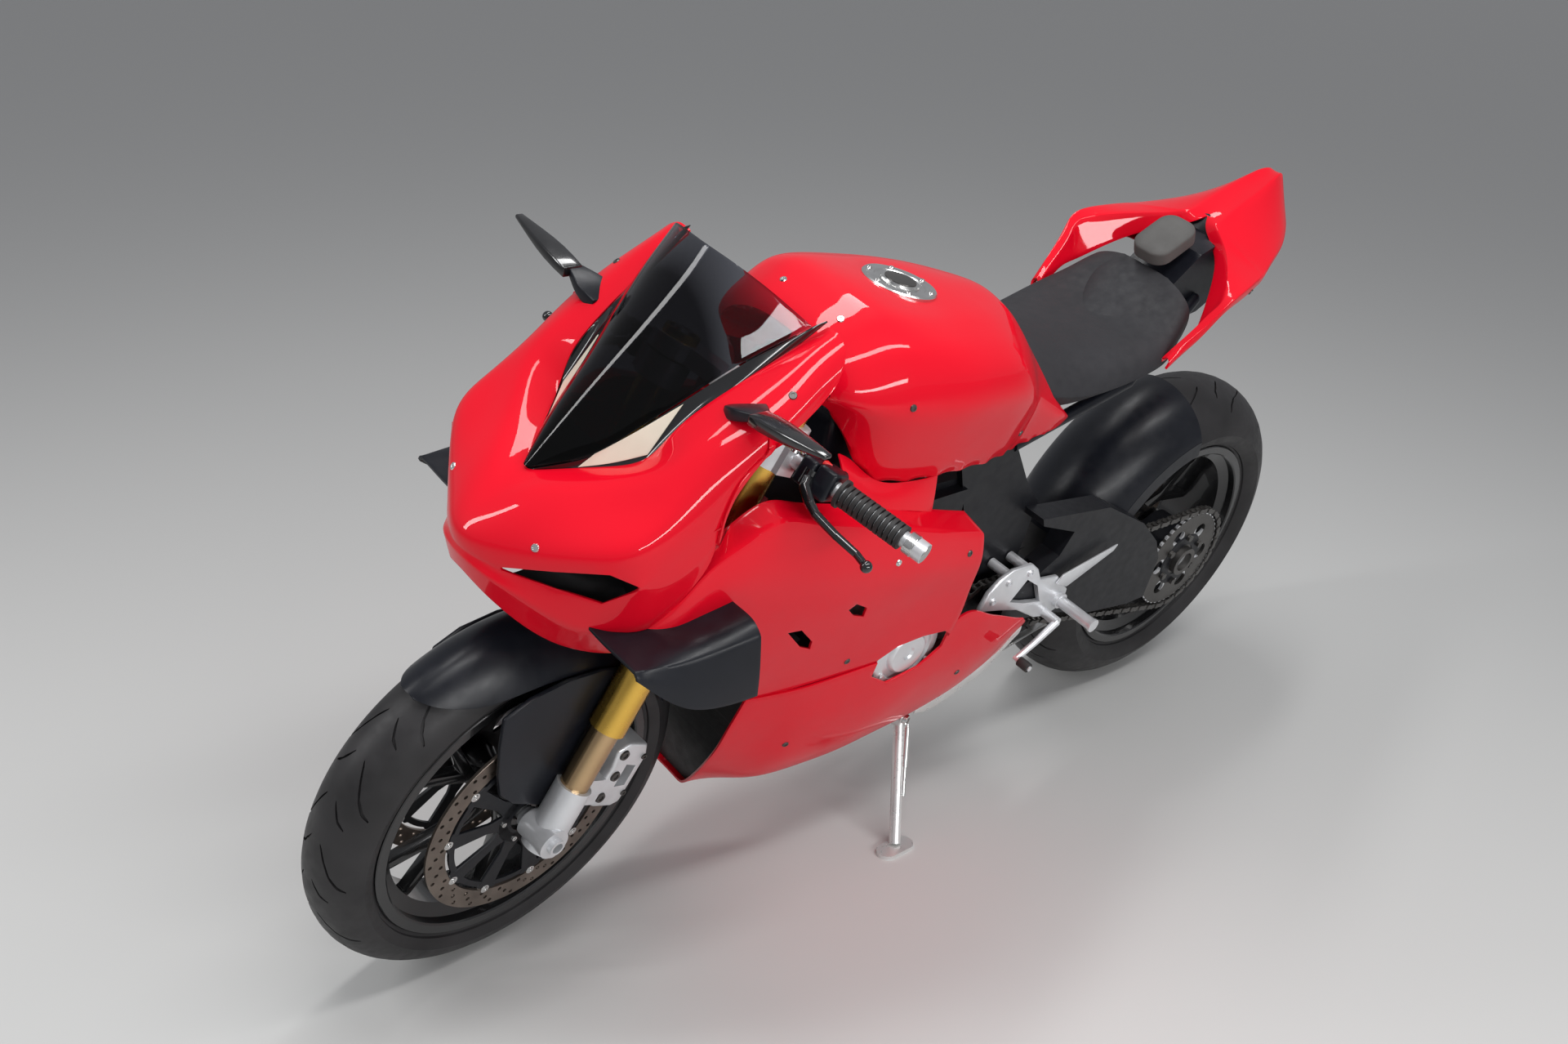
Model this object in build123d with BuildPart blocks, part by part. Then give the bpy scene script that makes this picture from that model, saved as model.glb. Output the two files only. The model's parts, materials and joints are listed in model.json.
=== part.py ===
"""Sport motorcycle parked on its side stand.

Every piece is drawn on the upright bike: x forwards from the rear axle, y to the rider's left,
z up from the road, in millimetres. Three placements then carry each piece to where it stands:
the whole bike pitches and leans until both tyres and the stand's foot touch the floor, the
steered pieces first turn about the steering axis, and everything is centred over the origin.
"""

from build123d import *
from math import acos, atan2, cos, degrees, hypot, pi, radians, sin, sqrt, tan
import os

# ---------------------------------------------------------------- driving dimensions
wheelbase = 1469.0
front_tyre_radius = 300.0
rear_tyre_radius = 336.0
rake = 24.5
trail = 100.0
lean = 11.0  # to the rider's left, on the side stand
parked_steer = 4.5  # to the left
steering_lock = 24.0  # each way from straight ahead

front_tyre_half, rear_tyre_half = 59.0, 98.0
tyre_wall = 9.0
bead_seat_radius, flange_radius = 217.7, 229.0
front_shoulder_height, rear_shoulder_height = 21.0, 33.0  # tread's edge above the rim's flange
front_shoulder_drop = front_tyre_radius - flange_radius - front_shoulder_height
rear_shoulder_drop = rear_tyre_radius - flange_radius - rear_shoulder_height
bead_gap = 0.3
flange_thickness = 5.0
front_rim_half, rear_rim_half = 44.5, 76.5
rim_wall = 5.0
drop_centre_radius = 199.0
bead_seat_width = 14.0

fork_spread = 107.0  # each leg from the centre plane
axle_lead = 8.0  # axle ahead of the leg's own axis
stanchion_radius, outer_tube_radius = 21.5, 27.0
leg_foot_top = 84.0
outer_tube_bottom, leg_top = 182.0, 692.0
front_axle_radius, front_axle_hollow = 12.5, 8.5
running_gap = 0.05  # radial, of a shaft in its bore

front_disc_radius, front_disc_inner = 165.0, 132.0
disc_thickness = 5.0
rear_disc_radius, rear_disc_offset = 122.5, 26.0

chain_line = 120.0
chain_width, chain_height = 14.0, 15.0
rear_sprocket_radius, front_sprocket_radius = 103.0, 38.0
sprocket_gap = 1.2
front_sprocket = (628.0, 424.0)  # x, z
arm_pivot = (556.0, 412.0)  # x, z
spindle_radius, spindle_bore = 30.0, 20.5

skin = 4.0  # moulded body panels
screen_skin = 3.0
seat_gap = 0.3  # between pieces that sit on one another

rake_sin, rake_cos = sin(radians(rake)), cos(radians(rake))
fork_offset = front_tyre_radius * rake_sin - trail * rake_cos  # axle ahead of the steering axis

front_axle = Vector(wheelbase, 0, front_tyre_radius)
rear_axle = Vector(0, 0, rear_tyre_radius)


# ---------------------------------------------------------------- placements
def crown(half_width, drop, tyre_radius):
    """Radius of the crown's arc across the tread, and of the circle its centre runs on."""
    arc = (half_width**2 + drop**2) / (2 * drop)
    return arc, tyre_radius - arc


front_crown = crown(front_tyre_half, front_shoulder_drop, front_tyre_radius)
rear_crown = crown(rear_tyre_half, rear_shoulder_drop, rear_tyre_radius)

steer_foot = Vector(wheelbase + trail, 0, 0)
steer_up = Vector(-rake_sin, 0, rake_cos)
steer_plane = Plane(origin=steer_foot, x_dir=(rake_cos, 0, rake_sin), z_dir=steer_up)
steered = steer_plane.location * Rot(0, 0, parked_steer) * steer_plane.location.inverse()

# The fork's own frame: origin at the front axle's middle, z up along the legs, x ahead.
fork_plane = Plane(origin=front_axle, x_dir=(rake_cos, 0, rake_sin), z_dir=steer_up)


def lowest(where, centre, axle_direction, arc):
    """Height of a leaning tyre's lowest point."""
    middle = (where * Pos(*centre)).position
    axle = (where * Pos(*(centre + axle_direction))).position - middle
    return middle.Z - arc[1] * sqrt(1 - axle.Z**2) - arc[0]


def leaning(pitch):
    return Rot(-lean, 0, 0) * Rot(0, pitch, 0)


turned_centre = (steered * Pos(*front_axle)).position
turned_axle = (steered * Pos(*(front_axle + Vector(0, 1, 0)))).position - turned_centre


def height_difference(pitch):
    front = lowest(leaning(pitch), turned_centre, turned_axle, front_crown)
    return front - lowest(leaning(pitch), rear_axle, Vector(0, 1, 0), rear_crown)


pitch = 0.0
for _ in range(4):  # Newton's method
    slope = (height_difference(pitch + 0.01) - height_difference(pitch)) / 0.01
    pitch -= height_difference(pitch) / slope

floor_drop = lowest(leaning(pitch), rear_axle, Vector(0, 1, 0), rear_crown)
parked = Pos(0, 0, -floor_drop) * leaning(pitch)
turned = parked * steered
forked = turned * fork_plane.location

finished = {}


def finish(piece, label, where=parked):
    """Carries a finished piece to where it stands and files it under its node's name."""
    shape = piece.part.moved(where)
    shape.label = label
    finished[label] = shape


# ---------------------------------------------------------------- wheels
def tyre_profile(half, drop, radius, rim_half):
    """Closed section of a tyre, from bead to bead, in (across, up) from the axle."""
    shoulder = radius - drop
    bead = bead_seat_radius + bead_gap
    bead_half = rim_half - bead_gap
    flange_top = flange_radius + bead_gap
    inner_half, inner_shoulder = half - tyre_wall, shoulder - tyre_wall / 2
    with BuildLine() as outline:
        ThreePointArc((-half, shoulder), (0, radius), (half, shoulder))
        Polyline((half, shoulder), (bead_half, flange_top), (bead_half, bead))
        Line((bead_half, bead), (bead_half - tyre_wall, bead))
        Line((bead_half - tyre_wall, bead), (inner_half, inner_shoulder))
        ThreePointArc((inner_half, inner_shoulder), (0, radius - tyre_wall), (-inner_half, inner_shoulder))
        Line((-inner_half, inner_shoulder), (tyre_wall - bead_half, bead))
        Line((tyre_wall - bead_half, bead), (-bead_half, bead))
        Polyline((-bead_half, bead), (-bead_half, flange_top), (-half, shoulder))
    return outline


def barrel_points(rim_half):
    """Half of the rim barrel's section, (across, radius), from the middle outwards and back."""
    seat_inner = rim_half - bead_seat_width
    outer = rim_half + flange_thickness
    return [
        (0, drop_centre_radius),
        (seat_inner - 10, drop_centre_radius),
        (seat_inner, bead_seat_radius),
        (rim_half, bead_seat_radius),
        (rim_half, flange_radius),
        (outer, flange_radius),
        (outer, bead_seat_radius - rim_wall),
        (seat_inner + 3, bead_seat_radius - rim_wall),
        (seat_inner - 7, drop_centre_radius - rim_wall),
        (0, drop_centre_radius - rim_wall),
    ]


def spoke_outline(hub_radius, fork_radius, stem_half, arm_half, arm_spread):
    """One Y spoke, standing up from the hub: a stem that splits into two arms."""
    tip = drop_centre_radius - rim_wall / 2
    with BuildSketch(Plane.XZ) as outline:
        with BuildLine():
            Polyline(
                (-stem_half, hub_radius - 6),
                (-stem_half, fork_radius),
                (-arm_spread - arm_half, tip * 0.985),
                (-arm_spread + arm_half, tip),
                (0, fork_radius + 16),
                (arm_spread - arm_half, tip),
                (arm_spread + arm_half, tip * 0.985),
                (stem_half, fork_radius),
                (stem_half, hub_radius - 6),
                close=True,
            )
        make_face()
    return outline


spoke_count = 5
front_hub_radius, front_hub_half = 36.0, 63.5
rear_hub_radius = 58.0
carrier_thickness = 5.0

with BuildPart() as front_tyre:
    with BuildSketch(Plane.YZ):
        add(tyre_profile(front_tyre_half, front_shoulder_drop, front_tyre_radius, front_rim_half).line)
        make_face()
    revolve(axis=Axis.Y)
finish(front_tyre, "front_tyre", turned * Pos(*front_axle))

front_spoke = spoke_outline(front_hub_radius, 92, 13, 7.5, 44)
with BuildPart() as front_rim:
    with BuildSketch(Plane.YZ):
        with BuildLine():
            Polyline(*barrel_points(front_rim_half))
            mirror(about=Plane.YZ)
        make_face()
    revolve(axis=Axis.Y)
    with BuildSketch(Plane.XZ):
        Circle(front_hub_radius)
    extrude(amount=front_hub_half, both=True)
    for turn in range(spoke_count):
        with BuildSketch(Plane.XZ):
            with Locations(Rot(0, 0, turn * 360 / spoke_count)):
                add(front_spoke.sketch)
        extrude(amount=11, both=True)
    with BuildSketch(Plane.XZ):
        Circle(front_axle_radius + running_gap)
    extrude(amount=front_hub_half, both=True, mode=Mode.SUBTRACT)
finish(front_rim, "front_rim", turned * Pos(*front_axle))

with BuildPart() as front_discs:
    with BuildSketch(Plane.XZ.offset(front_hub_half)):
        Circle(front_disc_radius)
        Circle(28, mode=Mode.SUBTRACT)
        with PolarLocations(84, 5):
            SlotOverall(58, 30, mode=Mode.SUBTRACT)
        with PolarLocations(front_disc_inner, 12):
            Circle(6, mode=Mode.SUBTRACT)
    extrude(amount=disc_thickness)
    mirror(about=Plane.XZ)
finish(front_discs, "front_discs", turned * Pos(*front_axle))

rear_spoke = spoke_outline(rear_hub_radius, 108, 15, 9, 46)
rear_spoke_plane = Plane.XZ.offset(30)  # to the rider's right
rear_hub_right = 62.0
with BuildPart() as rear_tyre:
    with BuildSketch(Plane.YZ):
        add(tyre_profile(rear_tyre_half, rear_shoulder_drop, rear_tyre_radius, rear_rim_half).line)
        make_face()
    revolve(axis=Axis.Y)
finish(rear_tyre, "rear_tyre", parked * Pos(*rear_axle))

with BuildPart() as rear_rim:
    with BuildSketch(Plane.YZ):
        with BuildLine():
            Polyline(*barrel_points(rear_rim_half))
            mirror(about=Plane.YZ)
        make_face()
    revolve(axis=Axis.Y)
    with BuildSketch(Plane.XZ.offset(-rear_disc_offset)):
        Circle(rear_hub_radius)
    extrude(amount=rear_disc_offset + rear_hub_right)
    for turn in range(spoke_count):
        with BuildSketch(rear_spoke_plane):
            with Locations(Rot(0, 0, turn * 360 / spoke_count)):
                add(rear_spoke.sketch)
        extrude(amount=24)
    with BuildSketch(Plane.XZ):
        Circle(spindle_radius)
    extrude(amount=120, both=True, mode=Mode.SUBTRACT)
finish(rear_rim, "rear_rim", parked * Pos(*rear_axle))

with BuildPart() as rear_disc:
    with BuildSketch(Plane.XZ.offset(-rear_disc_offset - disc_thickness)):
        Circle(rear_disc_radius)
        Circle(spindle_radius, mode=Mode.SUBTRACT)
        with PolarLocations(78, 6):
            SlotOverall(46, 22, mode=Mode.SUBTRACT)
    extrude(amount=disc_thickness)
finish(rear_disc, "rear_disc", parked * Pos(*rear_axle))

# The spindle runs right through: wheel on its right end, sprocket on its left.
spindle_left = chain_line + 16
with BuildPart() as rear_spindle:
    with BuildSketch(Plane.XZ.offset(-spindle_left)):
        Circle(spindle_radius)
    extrude(amount=spindle_left + rear_hub_right + 12)
    with BuildSketch(Plane.XZ.offset(rear_hub_right)):
        RegularPolygon(44, 6)
    extrude(amount=14)
    with BuildSketch(Plane.XZ.offset(-chain_line - 3.5)):
        Circle(rear_sprocket_radius)
        with PolarLocations(66, 6):
            Circle(17, mode=Mode.SUBTRACT)
    extrude(amount=7)
    with BuildSketch(Plane.XZ.offset(-spindle_left)):
        Circle(spindle_bore)
    extrude(amount=2 * spindle_left, mode=Mode.SUBTRACT)
finish(rear_spindle, "rear_spindle", parked * Pos(*rear_axle))


# ---------------------------------------------------------------- fork, steering and controls
# Drawn in the fork's own frame, each leg at y = +-fork_spread and x = -axle_lead.
def leg_tube(outer, inner, bottom, top):
    with BuildPart() as tube:
        for side in (-1, 1):
            with BuildSketch(Plane.XY.offset(bottom)):
                with Locations((-axle_lead, side * fork_spread)):
                    Circle(outer)
                    if inner:
                        Circle(inner, mode=Mode.SUBTRACT)
            extrude(amount=top - bottom)
    return tube


stanchion_top = 420.0
fork_sliders = leg_tube(stanchion_radius, 0, leg_foot_top, stanchion_top)
fork_outer_tubes = leg_tube(outer_tube_radius, stanchion_radius, outer_tube_bottom, leg_top)
finish(fork_sliders, "fork_sliders", forked)
finish(fork_outer_tubes, "fork_outer_tubes", forked)

foot_radius, axle_boss = 27.0, 24.0
lug_face_x, lug_inner_y, lug_outer_y = -82.0, 84.0, 104.0
with BuildPart() as fork_feet:
    for side in (-1, 1):
        with BuildSketch(Plane.XY.offset(-axle_boss)):
            with Locations((-axle_lead, side * fork_spread)):
                Circle(foot_radius)
        extrude(amount=leg_foot_top + axle_boss)
        with Locations(Pos(0, side * fork_spread, 0) * Rot(90, 0, 0)):
            Cylinder(axle_boss, 2 * foot_radius)
        with Locations(((lug_face_x - axle_lead) / 2, side * (lug_inner_y + lug_outer_y) / 2, 62)):
            Box(abs(lug_face_x + axle_lead), lug_outer_y - lug_inner_y, 44)
    with Locations(Rot(90, 0, 0)):  # the spindle, clamped in both feet
        Cylinder(front_axle_radius, 2 * (fork_spread + foot_radius) + 16)
    for side in (-1, 1):
        with Locations(Pos(0, side * (front_hub_half + disc_thickness + 6), 0) * Rot(90, 0, 0)):
            Cylinder(17, 10)
    with Locations(Rot(90, 0, 0)):
        Cylinder(front_axle_hollow, 300, mode=Mode.SUBTRACT)
finish(fork_feet, "fork_feet", forked)

calliper_half_y, disc_slot = 31.0, 15.0
disc_middle = front_hub_half + disc_thickness / 2
with BuildPart() as front_callipers:
    for side in (-1, 1):
        with BuildSketch(Plane.XZ.offset(-side * disc_middle - calliper_half_y)):
            with Locations((-116, 84)):
                Rectangle(68, 112)
        extrude(amount=2 * calliper_half_y)
    with Locations(Rot(90, 0, 0)):
        for side in (-1, 1):
            with Locations((0, 0, side * disc_middle)):
                Cylinder(front_disc_radius + 6, disc_slot, mode=Mode.SUBTRACT)
        with Locations((0, 0, 0)):
            Cylinder(60, 2 * disc_middle - disc_slot, mode=Mode.SUBTRACT)
finish(front_callipers, "front_callipers", forked)

lower_yoke, upper_yoke = (440.0, 478.0), (656.0, 680.0)
stem_radius, stem_bore, stem_x = 17.0, 10.5, -fork_offset
with BuildPart() as triple_clamps:
    for bottom, top in (lower_yoke, upper_yoke):
        with BuildSketch(Plane.XY.offset(bottom)):
            with Locations((-axle_lead, fork_spread), (-axle_lead, -fork_spread)):
                Circle(outer_tube_radius + 11)
            with Locations((stem_x + 6, 0)):
                Rectangle(62, 2 * fork_spread)
        extrude(amount=top - bottom)
    with Locations((stem_x, 0, (lower_yoke[0] + upper_yoke[1]) / 2)):
        Cylinder(stem_radius, upper_yoke[1] - lower_yoke[0] + 24)
        Cylinder(stem_bore, upper_yoke[1] - lower_yoke[0] + 24, mode=Mode.SUBTRACT)
    with Locations((-axle_lead, fork_spread, 550), (-axle_lead, -fork_spread, 550)):
        Cylinder(outer_tube_radius, 300, mode=Mode.SUBTRACT)
finish(triple_clamps, "triple_clamps", forked)

# Bars: one straight tube a side, dropped and swept back from a clamp round the leg.
bar_radius, grip_radius = 11.0, 16.5
clamp_height = 630.0
bar_inner = Vector(-axle_lead - 6, 126, clamp_height + 10)
bar_outer = Vector(-64, 340, clamp_height + 3)


def bar_plane(distance, side):
    """Plane across the bar at a distance from its inner end, facing outwards."""
    inner = Vector(bar_inner.X, side * bar_inner.Y, bar_inner.Z)
    outer = Vector(bar_outer.X, side * bar_outer.Y, bar_outer.Z)
    along = (outer - inner).normalized()
    return Plane(origin=inner + along * distance, x_dir=(1, 0, 0), z_dir=along)


def bar_pieces(radius, bore, start, end):
    with BuildPart() as sleeve:
        for side in (-1, 1):
            with BuildSketch(bar_plane(start, side)):
                Circle(radius)
                if bore:
                    Circle(bore, mode=Mode.SUBTRACT)
            extrude(amount=end - start)
    return sleeve


bar_length = (bar_outer - bar_inner).length
grip_start, grip_end = 96.0, bar_length - 2
with BuildPart() as clip_ons:
    for side in (-1, 1):
        with BuildSketch(bar_plane(0, side)):
            Circle(bar_radius)
        extrude(amount=bar_length)
        with BuildSketch(bar_plane(grip_end, side)):
            Circle(14.5)
        extrude(amount=14)
        with BuildSketch(Plane.XY.offset(clamp_height - 16)):
            with Locations((-axle_lead, side * fork_spread)):
                Circle(outer_tube_radius + 8)
            with Locations((-axle_lead - 2, side * (fork_spread + 24))):
                Rectangle(34, 34)
        extrude(amount=38)
        with Locations((-axle_lead, side * fork_spread, clamp_height)):
            Cylinder(outer_tube_radius, 120, mode=Mode.SUBTRACT)
finish(clip_ons, "clip_ons", forked)
finish(bar_pieces(grip_radius, bar_radius, grip_start, grip_end), "grips", forked)

with BuildPart() as control_clusters:
    for side in (-1, 1):
        with BuildSketch(bar_plane(34, side)):
            RectangleRounded(46, 42, 8)
            Circle(bar_radius, mode=Mode.SUBTRACT)
        extrude(amount=54)
finish(control_clusters, "control_clusters", forked)

with BuildPart() as levers:
    for side in (-1, 1):
        start, middle, end = (bar_plane(d, side).origin for d in (60, 110, bar_length - 6))
        near, bent, far = Vector(25, 0, -4), Vector(57, 0, -28), Vector(60, 0, -42)  # ahead of the bar
        with BuildLine() as lever_path:
            Polyline(start + near, middle + bent, end + far)
        with BuildSketch(Plane(origin=start + near, z_dir=lever_path.line % 0)):
            Rectangle(11, 15)
        sweep(transition=Transition.RIGHT)
    add(control_clusters.part, mode=Mode.SUBTRACT)
finish(levers, "levers", forked)

fender_gap, fender_skin = 13.0, 3.0
fender_back, fender_front = 40.0, 57.0  # degrees each way from straight above the axle


def fender_section(gap):
    half, drop = 71.0 + gap - fender_gap, 66.0
    return [(-half, front_tyre_radius - drop), (0, front_tyre_radius + gap), (half, front_tyre_radius - drop)]


fender_leg = [(-66, 262), (34, 262), (26, 40), (-34, 40)]
with BuildPart() as front_fender:
    with BuildSketch(Plane.YZ.rotated((0, -fender_back, 0))):
        inner, outer = fender_section(fender_gap), fender_section(fender_gap + fender_skin)
        with BuildLine():
            ThreePointArc(*outer)
            ThreePointArc(*inner)
            Line(inner[0], outer[0])
            Line(inner[2], outer[2])
        make_face()
    revolve(axis=Axis.Y, revolution_arc=fender_back + fender_front)
    for side in (-1, 1):
        with BuildSketch(Plane.XZ.offset(-side * 79 - 5)):
            with BuildLine():
                Polyline(*fender_leg, close=True)
            make_face()
        extrude(amount=10)
        with Locations((-16, side * 76.5, 252)):
            Box(100, 15, 20)
    for solid in (fork_feet, fork_sliders, fork_outer_tubes):
        add(solid.part, mode=Mode.SUBTRACT)
finish(front_fender, "front_fender", forked)

# ---------------------------------------------------------------- engine and frame
engine_half = 92.0
engine_side = [
    (500, 345), (695, 345), (700, 258), (850, 240), (980, 262), (1060, 330), (1085, 420),
    (1010, 470), (930, 660), (830, 700), (600, 690), (560, 560), (600, 470), (500, 470),
]
arm_boss, arm_inner, arm_outer = 28.0, 104.0, 146.0
with BuildPart() as engine_block:
    with BuildSketch(Plane.XZ):
        with BuildLine():
            Polyline(*engine_side, close=True)
        make_face()
    extrude(amount=engine_half, both=True)
finish(engine_block, "engine_block")

window_centre = (850, 460)
with BuildPart() as engine_covers:
    for side in (-1, 1):
        with BuildSketch(Plane.XZ.offset(-side * engine_half)):
            with Locations(window_centre):
                Circle(88)
        extrude(amount=-side * 74)
        with BuildSketch(Plane.XZ.offset(-side * (engine_half + 74))):
            with Locations(window_centre):
                Circle(56)
        extrude(amount=-side * 40)
finish(engine_covers, "engine_covers")

stand_pivot = Vector(728, 112, 212)
stand_floor = Vector(806, 240, 46)  # where the foot meets the floor, on the upright bike
stand_axis = Vector(-0.255, 0.964, 0.078).normalized()
stand_hub, stand_boss = 20.0, 15.0
stand_along = (stand_floor - stand_pivot).normalized()
stand_foot_height = 7.0

frame_plate = [(760, 728), (700, 590), (655, 500), (640, 480), (530, 480), (524, 600), (575, 655), (640, 745)]
with BuildPart() as frame:
    with Locations(fork_plane.location * Pos(stem_x, 0, (lower_yoke[1] + upper_yoke[0]) / 2)):
        Cylinder(33, upper_yoke[0] - lower_yoke[1] - 12)
    for side in (-1, 1):
        with BuildSketch(Plane.YZ.offset(1150)):
            with Locations((side * 30, 800)):
                Rectangle(24, 74)
        with BuildSketch(Plane.YZ.offset(935)):
            with Locations((side * (engine_half + 9), 640)):
                Rectangle(18, 90)
        loft()
        with BuildSketch(Plane.YZ.offset(935)):
            with Locations((side * (engine_half + 9), 640)):
                Rectangle(18, 90)
        extrude(amount=-200)
        with BuildSketch(Plane.XZ.offset(-side * (engine_half + 6) - 6)):
            with BuildLine():
                Polyline(*frame_plate, close=True)
            make_face()
        extrude(amount=12)
    with Locations((1176, 0, 798)):
        Box(60, 84, 64)
    with Locations((1300, 0, 790)):  # stay that carries the intake liners
        Box(150, 44, 26)
    with Locations((729, 86, 238)):  # the side stand's bracket, with a boss along the stand's axis
        Box(46, 24, 56)
    with BuildSketch(Plane(origin=stand_pivot - stand_axis * (stand_hub / 2 + seat_gap), z_dir=stand_axis)):
        Circle(stand_boss)
    extrude(amount=-14)
    with BuildSketch(Plane(origin=stand_pivot - stand_axis * (stand_hub / 2 + seat_gap), z_dir=stand_axis)):
        Circle(2 * stand_boss)
    extrude(amount=stand_hub, mode=Mode.SUBTRACT)
    with Locations(fork_plane.location * Pos(stem_x, 0, 550)):
        Cylinder(stem_radius + running_gap, 400, mode=Mode.SUBTRACT)
    add(engine_block.part, mode=Mode.SUBTRACT)
finish(frame, "frame")


# ---------------------------------------------------------------- body panels
def inset(points, thickness):
    """The polyline pushed to its right by a thickness, with mitred corners."""
    pushed = []
    for i, (y, z) in enumerate(points):
        before = points[max(i - 1, 0)]
        after = points[min(i + 1, len(points) - 1)]
        here = (y, z)
        lengths = []
        for a, b in ((before, here), (here, after)):
            run = hypot(b[0] - a[0], b[1] - a[1])
            if run > 0:
                lengths.append(((b[1] - a[1]) / run, -(b[0] - a[0]) / run))
        ny = sum(n[0] for n in lengths) / len(lengths)
        nz = sum(n[1] for n in lengths) / len(lengths)
        size = ny * ny + nz * nz
        pushed.append((y + ny * thickness / size, z + nz * thickness / size))
    return pushed


def shell(sections, thickness):
    """Panel of the rider's left: open sections {x: [(y, z), ...]} from its top edge to its bottom."""
    with BuildPart() as panel:
        for x, points in sections.items():
            with BuildSketch(Plane.YZ.offset(x)):
                with BuildLine():
                    Polyline(*points, *reversed(inset(points, thickness)), close=True)
                make_face()
        loft(ruled=True)
    return panel.part


def block(sections):
    """Solid across the centre plane from half sections {x: [(y, z), ...]}, top middle to bottom."""
    with BuildPart() as body:
        for x, points in sections.items():
            with BuildSketch(Plane.YZ.offset(x)):
                with BuildLine():
                    points = [(max(y, 1), z) for y, z in points]
                    left = [(-y, z) for y, z in reversed(points)]
                    Polyline((0, points[0][1]), *points, (0, points[-1][1]), *left, close=True)
                make_face()
        loft(ruled=True)
    return body.part


def side_cut(outline, start=0, end=400):
    """Solid of a side-view outline (x, z), between two distances from the centre plane."""
    with BuildPart() as cutter:
        with BuildSketch(Plane.XZ.offset(-end)):
            with BuildLine():
                Polyline(*outline, close=True)
            make_face()
        extrude(amount=end - start)
    return cutter.part


def front_cut(outline, start, end):
    """Solid of a front-view outline (y, z), between two x."""
    with BuildPart() as cutter:
        with BuildSketch(Plane.YZ.offset(start)):
            with BuildLine():
                Polyline(*outline, close=True)
            make_face()
        extrude(amount=end - start)
    return cutter.part


nose_sections = {
    1574: [(-1, 790), (10, 788), (16, 770), (14, 735), (4, 716)],
    1540: [(-1, 816), (36, 812), (62, 784), (62, 706), (30, 672)],
    1496: [(-1, 846), (70, 842), (120, 806), (122, 704), (84, 640)],
    1450: [(38, 856), (104, 872), (180, 830), (184, 720), (128, 644)],
    1420: [(66, 866), (130, 892), (196, 850), (202, 730), (150, 640)],
    1340: [(112, 928), (160, 946), (206, 914), (212, 790), (196, 730)],
    1250: [(130, 1012), (168, 1020), (206, 998), (213, 925), (206, 870)],
    1160: [(142, 1062), (165, 1066), (197, 1046), (206, 1000), (200, 955)],
}
nose_side = [
    (1600, 690), (1560, 680), (1503, 612), (1436, 612), (1412, 650), (1432, 700), (1356, 790), (1352, 838),
    (1328, 924), (1228, 1000), (1170, 1048), (1180, 1100), (1600, 1100),
]
intake = [(68, 748), (135, 770), (186, 784), (163, 731)]
with BuildPart() as nose_fairing:
    add(shell(nose_sections, skin))
    add(side_cut(nose_side), mode=Mode.INTERSECT)
    add(front_cut(intake, 1400, 1600), mode=Mode.SUBTRACT)
    mirror(about=Plane.XZ)
finish(nose_fairing, "nose_fairing")

nose_inside = block({x: inset(points, skin) for x, points in nose_sections.items()})
with BuildPart() as intake_liners:
    with Locations((1402, 0, 782)):
        Box(54, 400, 130)
    add(nose_inside, mode=Mode.INTERSECT)
finish(intake_liners, "intake_liners")

screen_sections = {
    1484: [(2, 862), (6, 860), (10, 856)],
    1440: [(10, 912), (26, 904), (38, 880)],
    1380: [(20, 985), (46, 968), (64, 928)],
    1320: [(28, 1058), (62, 1038), (90, 984)],
    1270: [(34, 1112), (76, 1088), (112, 1022)],
    1180: [(36, 1160), (92, 1130), (138, 1066)],
}
screen_side = [(1490, 840), (1490, 900), (1290, 1150), (1262, 1128), (1186, 1070), (1186, 1000), (1400, 850)]
with BuildPart() as windscreen:
    add(shell(screen_sections, screen_skin))
    add(side_cut(screen_side), mode=Mode.INTERSECT)
    mirror(about=Plane.XZ)
    for before, after in ((1484, 1440), (1440, 1380), (1380, 1320), (1320, 1272)):
        a, b = screen_sections[before][0], (screen_sections.get(after) or screen_sections[1270])[0]
        for x, (y, z) in ((before, a), (after, b)):
            with BuildSketch(Plane.YZ.offset(x)):
                with Locations((0, z - screen_skin / 2)):
                    Rectangle(2 * y + 1, screen_skin)
        loft(ruled=True)
finish(windscreen, "windscreen")

upper_sections = {
    1430: [(150, 752), (184, 748), (202, 716), (192, 690), (168, 664), (142, 650)],
    1350: [(176, 790), (206, 788), (216, 740), (204, 660), (178, 590), (155, 560)],
    1240: [(168, 834), (208, 818), (220, 730), (206, 620), (182, 500), (160, 450)],
    1100: [(168, 798), (212, 778), (224, 690), (207, 590), (190, 500), (178, 450)],
    950: [(164, 752), (212, 732), (222, 660), (207, 575), (194, 510), (188, 450)],
    775: [(158, 694), (206, 676), (216, 630), (206, 570), (198, 515), (194, 450)],
}
upper_side = [
    (1427, 699), (1350, 788), (1244, 834), (1040, 772), (830, 700), (800, 690), (790, 574),
    (777, 517), (784, 470.3), (1180, 470.3), (1300, 560), (1406, 650),
]
belly_sections = {
    1182: [(160, 470), (146, 400), (124, 330), (92, 268), (40, 236)],
    1050: [(182, 470), (170, 380), (150, 290), (110, 212), (30, 176)],
    900: [(190, 470), (180, 370), (160, 280), (120, 204), (40, 168)],
    750: [(194, 470), (184, 380), (160, 295), (125, 225), (66, 194)],
    600: [(188, 430), (178, 380), (158, 332), (134, 284), (96, 256)],
    440: [(168, 376), (164, 362), (156, 350), (146, 342), (134, 336)],
}
belly_side = [
    (1168, 262), (1140, 360), (1176, 470), (784, 470), (760, 470), (700, 415), (520, 368), (440, 352), (430, 322),
    (560, 240), (720, 150), (900, 130), (1156, 200),
]
stand_opening = (732, 104, 190)
vents = [
    [(1010, 560), (1050, 575), (1085, 690), (1040, 660)],
    [(1110, 560), (1150, 575), (1180, 690), (1140, 660)],
]
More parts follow.
